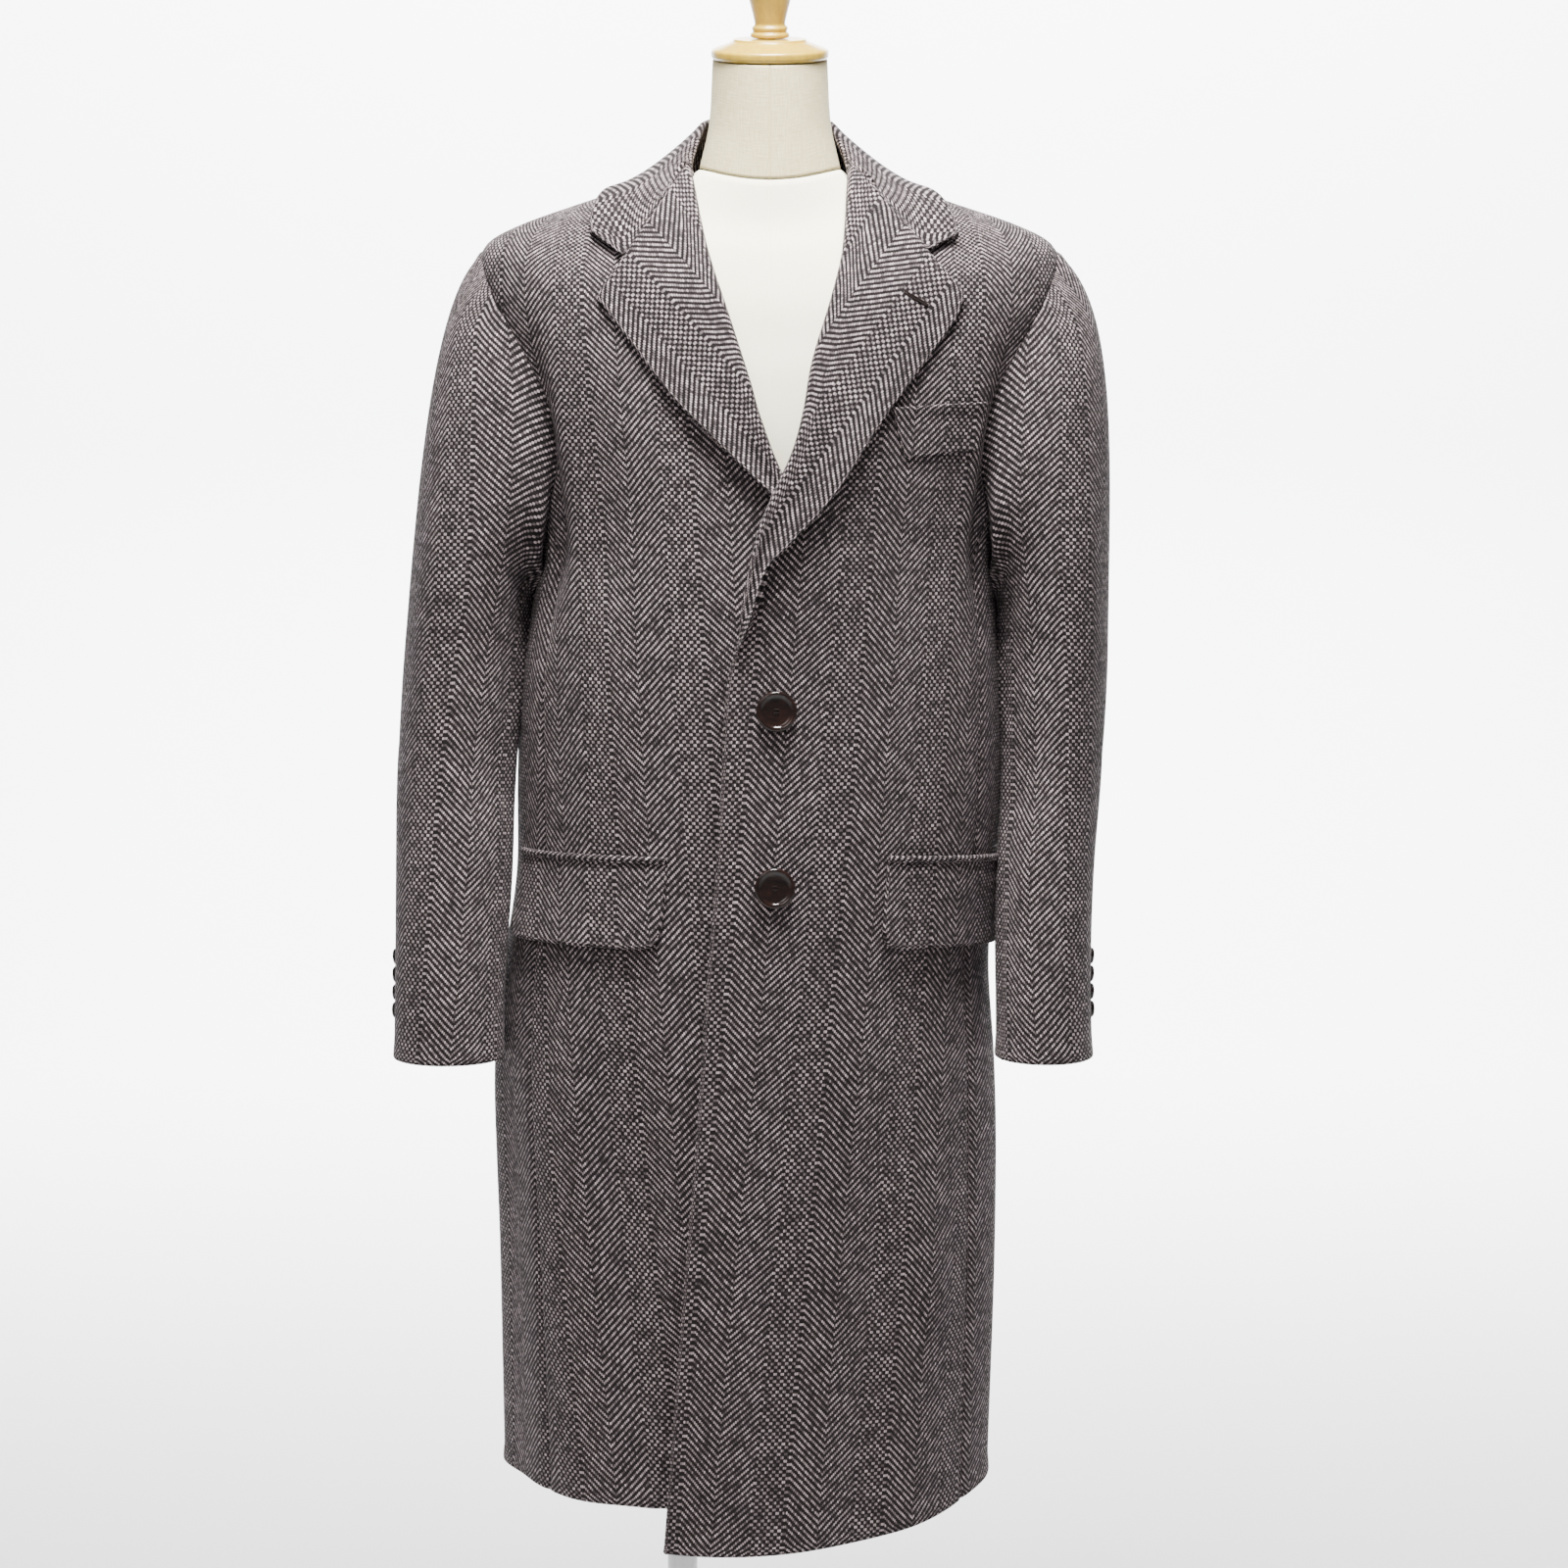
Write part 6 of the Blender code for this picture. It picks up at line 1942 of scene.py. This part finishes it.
@dataclass
class DressForm:
    """The torso, neck, cap and finial, and the pole and base they stand on."""

    finishes: Finishes
    sides: int = 96
    trim_gap: float = 0.0006
    cap_centre: Spot = (0.013, -0.0065, 1.4858)
    cap_tilt: float = math.radians(10)
    pole_x: float = -0.058
    pole_radius: float = 0.012
    base_radius: float = 0.190
    base_height: float = 0.008
    base_round: float = 0.004
    seam_depth: float = 0.0009
    seam_width: float = 0.0016
    seam_radius: float = 0.11

    def body(self, name: str, node: str, skin: RingSkin, rows: int, slot: str, material: Material) -> None:
        """Build a closed form through a skin's rings with a fine seam down its front.

        Args:
            name: Name of the piece.
            node: Solid that it stands for.
            skin: The form's skin.
            rows: Rows up it.
            slot: Material slot; not used.
            material: Its cover.
        """
        even = np.linspace(-np.pi, np.pi, self.sides + 1)
        close = np.linspace(-0.03, 0.03, 13)
        angle = np.unique(np.r_[even, close])[None, :]
        station = np.linspace(skin.low, skin.high, rows)[:, None]
        points = skin.point(angle, station)
        seam = np.exp(-((np.sin(angle) * self.seam_radius / self.seam_width) ** 2)) * (np.cos(angle) > 0)
        points = points - skin.normal(angle, station) * (self.seam_depth * seam)[..., None]
        points[:, -1] = points[:, 0]
        around = run(points, 1)
        flat = np.stack((around - around[:, [points.shape[1] // 2]], run(points, 0)), axis=-1)
        ends = []
        for row in (points[0], points[-1]):
            middle = row.mean(axis=0)
            ends.append(np.stack([middle + (row - middle) * share for share in (0.0, 0.5, 0.97)]))
        whole = np.concatenate((ends[0], points, ends[1][::-1]))
        cover = np.concatenate((flat[:1].repeat(3, 0), flat, flat[-1:].repeat(3, 0)))
        finish_piece(name, grid_mesh(name, whole, cover), material, slot, node)

    def turned(self, name: str, node: str, profile: Sequence[Turn], place: Matrix, slot: str) -> None:
        """Build a turned part in wood or metal."""
        material = self.finishes.wood if slot == "wood" else self.finishes.metal
        finish_piece(name, lathe(name, profile, self.sides, place), material, slot, node)

    def build(self) -> None:
        """Build the form and its stand."""
        self.body("torso_cover", "form_torso", RingSkin(FORM_RINGS), 150, "form_canvas", self.finishes.jersey)
        lifted = [
            ring._replace(**{name: getattr(ring, name) + self.trim_gap for name in Ring._fields[1:4]})
            for ring in NECK_RINGS
        ]
        self.body("neck_cover", "form_neck", RingSkin(lifted, 1.0), 40, "neck_linen", self.finishes.linen)
        centre = Vector(self.cap_centre) + Vector((0, 0, self.trim_gap))
        place = Matrix.Translation(centre) @ Matrix.Rotation(self.cap_tilt, 4, "X")
        self.turned("turned_cap", "neck_cap", softened(CAP_PROFILE, 0.0016), place, "wood")
        self.turned("turned_finial", "finial", softened(FINIAL_PROFILE, 0.0045), place, "wood")
        stand = Matrix.Translation((self.pole_x, 0, 0))
        top = FORM_RINGS[0].station - self.trim_gap
        foot = self.base_height + self.trim_gap
        rod = (Turn(0.0, foot), Turn(self.pole_radius, foot), Turn(self.pole_radius, top), Turn(0.0, top))
        self.turned("stand_pole", "pole", softened(rod, 0.001), stand, "metal")
        plate = (
            Turn(0.0, 0.0),
            Turn(self.base_radius, 0.0),
            Turn(self.base_radius, self.base_height * 0.7),
            Turn(self.base_radius - self.base_round, self.base_height),
            Turn(0.0, self.base_height),
        )
        self.turned("stand_base", "base", softened(plate, 0.002), stand, "metal")


@dataclass
class Studio:
    """Pale cove, soft lights and the camera."""

    finishes: Finishes
    camera_at: Spot = (0.024, -3.2, 1.19)
    camera_drop: float = 0.273
    lens: float = 92.65
    sensor: float = 36.0
    sky: float = 0.32
    cove_front: float = -9.0
    cove_back: float = 4.4
    cove_radius: float = 1.2
    cove_top: float = 7.0
    cove_half: float = 9.0
    cove_gap: float = 0.0005

    def cove(self) -> None:
        """Build the floor that curves up into the backdrop."""
        turn = np.linspace(0, np.pi / 2, 25)
        wall = self.cove_back + self.cove_radius
        y = np.r_[self.cove_front, self.cove_back + self.cove_radius * np.sin(turn), wall]
        z = np.r_[0.0, self.cove_radius * (1 - np.cos(turn)), self.cove_top]
        x = np.linspace(-self.cove_half, self.cove_half, 13)
        points = np.stack(np.broadcast_arrays(x[None, :], y[:, None], z[:, None] - self.cove_gap), axis=-1)
        mesh = grid_mesh("studio_cove", points, points[..., :2])
        place_mesh("studio_cove", mesh, self.finishes.paper)

    def hang(self, name: str, data: bpy.types.ID, at: Spot, turn: Sequence[float]) -> Piece:
        """Return a light or camera hung in the scene."""
        holder = bpy.data.objects.new(name, data)
        holder.location = at
        holder.rotation_euler = turn
        bpy.context.scene.collection.objects.link(holder)
        return holder

    def light(
        self, name: str, at: Spot, aim: Spot, size: tuple[float, float], power: float, spread: float = 180.0
    ) -> None:
        """Hang one soft light.

        Args:
            name: Name of the light.
            at: Where it hangs.
            aim: Point that it faces.
            size: Width and height of its face.
            power: Watts.
            spread: Degrees of its beam.
        """
        lamp = bpy.data.lights.new(name, "AREA")
        lamp.shape = "RECTANGLE"
        lamp.size, lamp.size_y = size
        lamp.energy = power
        lamp.spread = math.radians(spread)
        turn = (Vector(aim) - Vector(at)).to_track_quat("-Z", "Y").to_euler()
        self.hang(name, lamp, at, turn).visible_camera = False

    def build(self) -> None:
        """Build the cove, the lights, the sky and the camera."""
        self.cove()
        self.light("overhead_soft", (0.03, -0.45, 2.3), (0.0, -0.12, 1.25), (0.5, 0.4), 92.0)
        self.light("front_soft", (-1.2, -3.4, 2.9), (0.0, 0.0, 1.0), (1.6, 1.6), 52.0)
        self.light("backdrop_soft", (0.0, 3.2, 5.0), (0.0, 5.4, 1.0), (6.0, 1.0), 1350.0, 124.0)
        world = bpy.data.worlds.new("studio_sky")
        world.use_nodes = True
        colour, strength = world.node_tree.nodes["Background"].inputs[:2]
        colour.default_value = (1.0, 1.0, 1.0, 1.0)
        strength.default_value = self.sky
        bpy.context.scene.world = world
        camera = bpy.data.cameras.new("photo_camera")
        camera.lens = self.lens
        camera.sensor_width = self.sensor
        tilt = math.pi / 2 - math.atan(self.camera_drop / -self.camera_at[1])
        bpy.context.scene.camera = self.hang("photo_camera", camera, self.camera_at, (tilt, 0.0, 0.0))


def main() -> None:
    """Build the coat, the form and the studio."""
    logging.basicConfig(level=logging.INFO, format="%(name)s: %(message)s")
    finishes = Finishes()
    block = CoatBlock()
    sleeves = {side: Sleeve(block, finishes, side) for side in Side}
    Studio(finishes).build()
    BodyPanels(block, finishes).build()
    for sleeve in sleeves.values():
        sleeve.build()
    LapelsAndCollar(block, finishes).build()
    Pockets(block, finishes).build()
    Buttons(block, sleeves, finishes).build()
    DressForm(finishes).build()


if __name__ == "__main__":
    main()
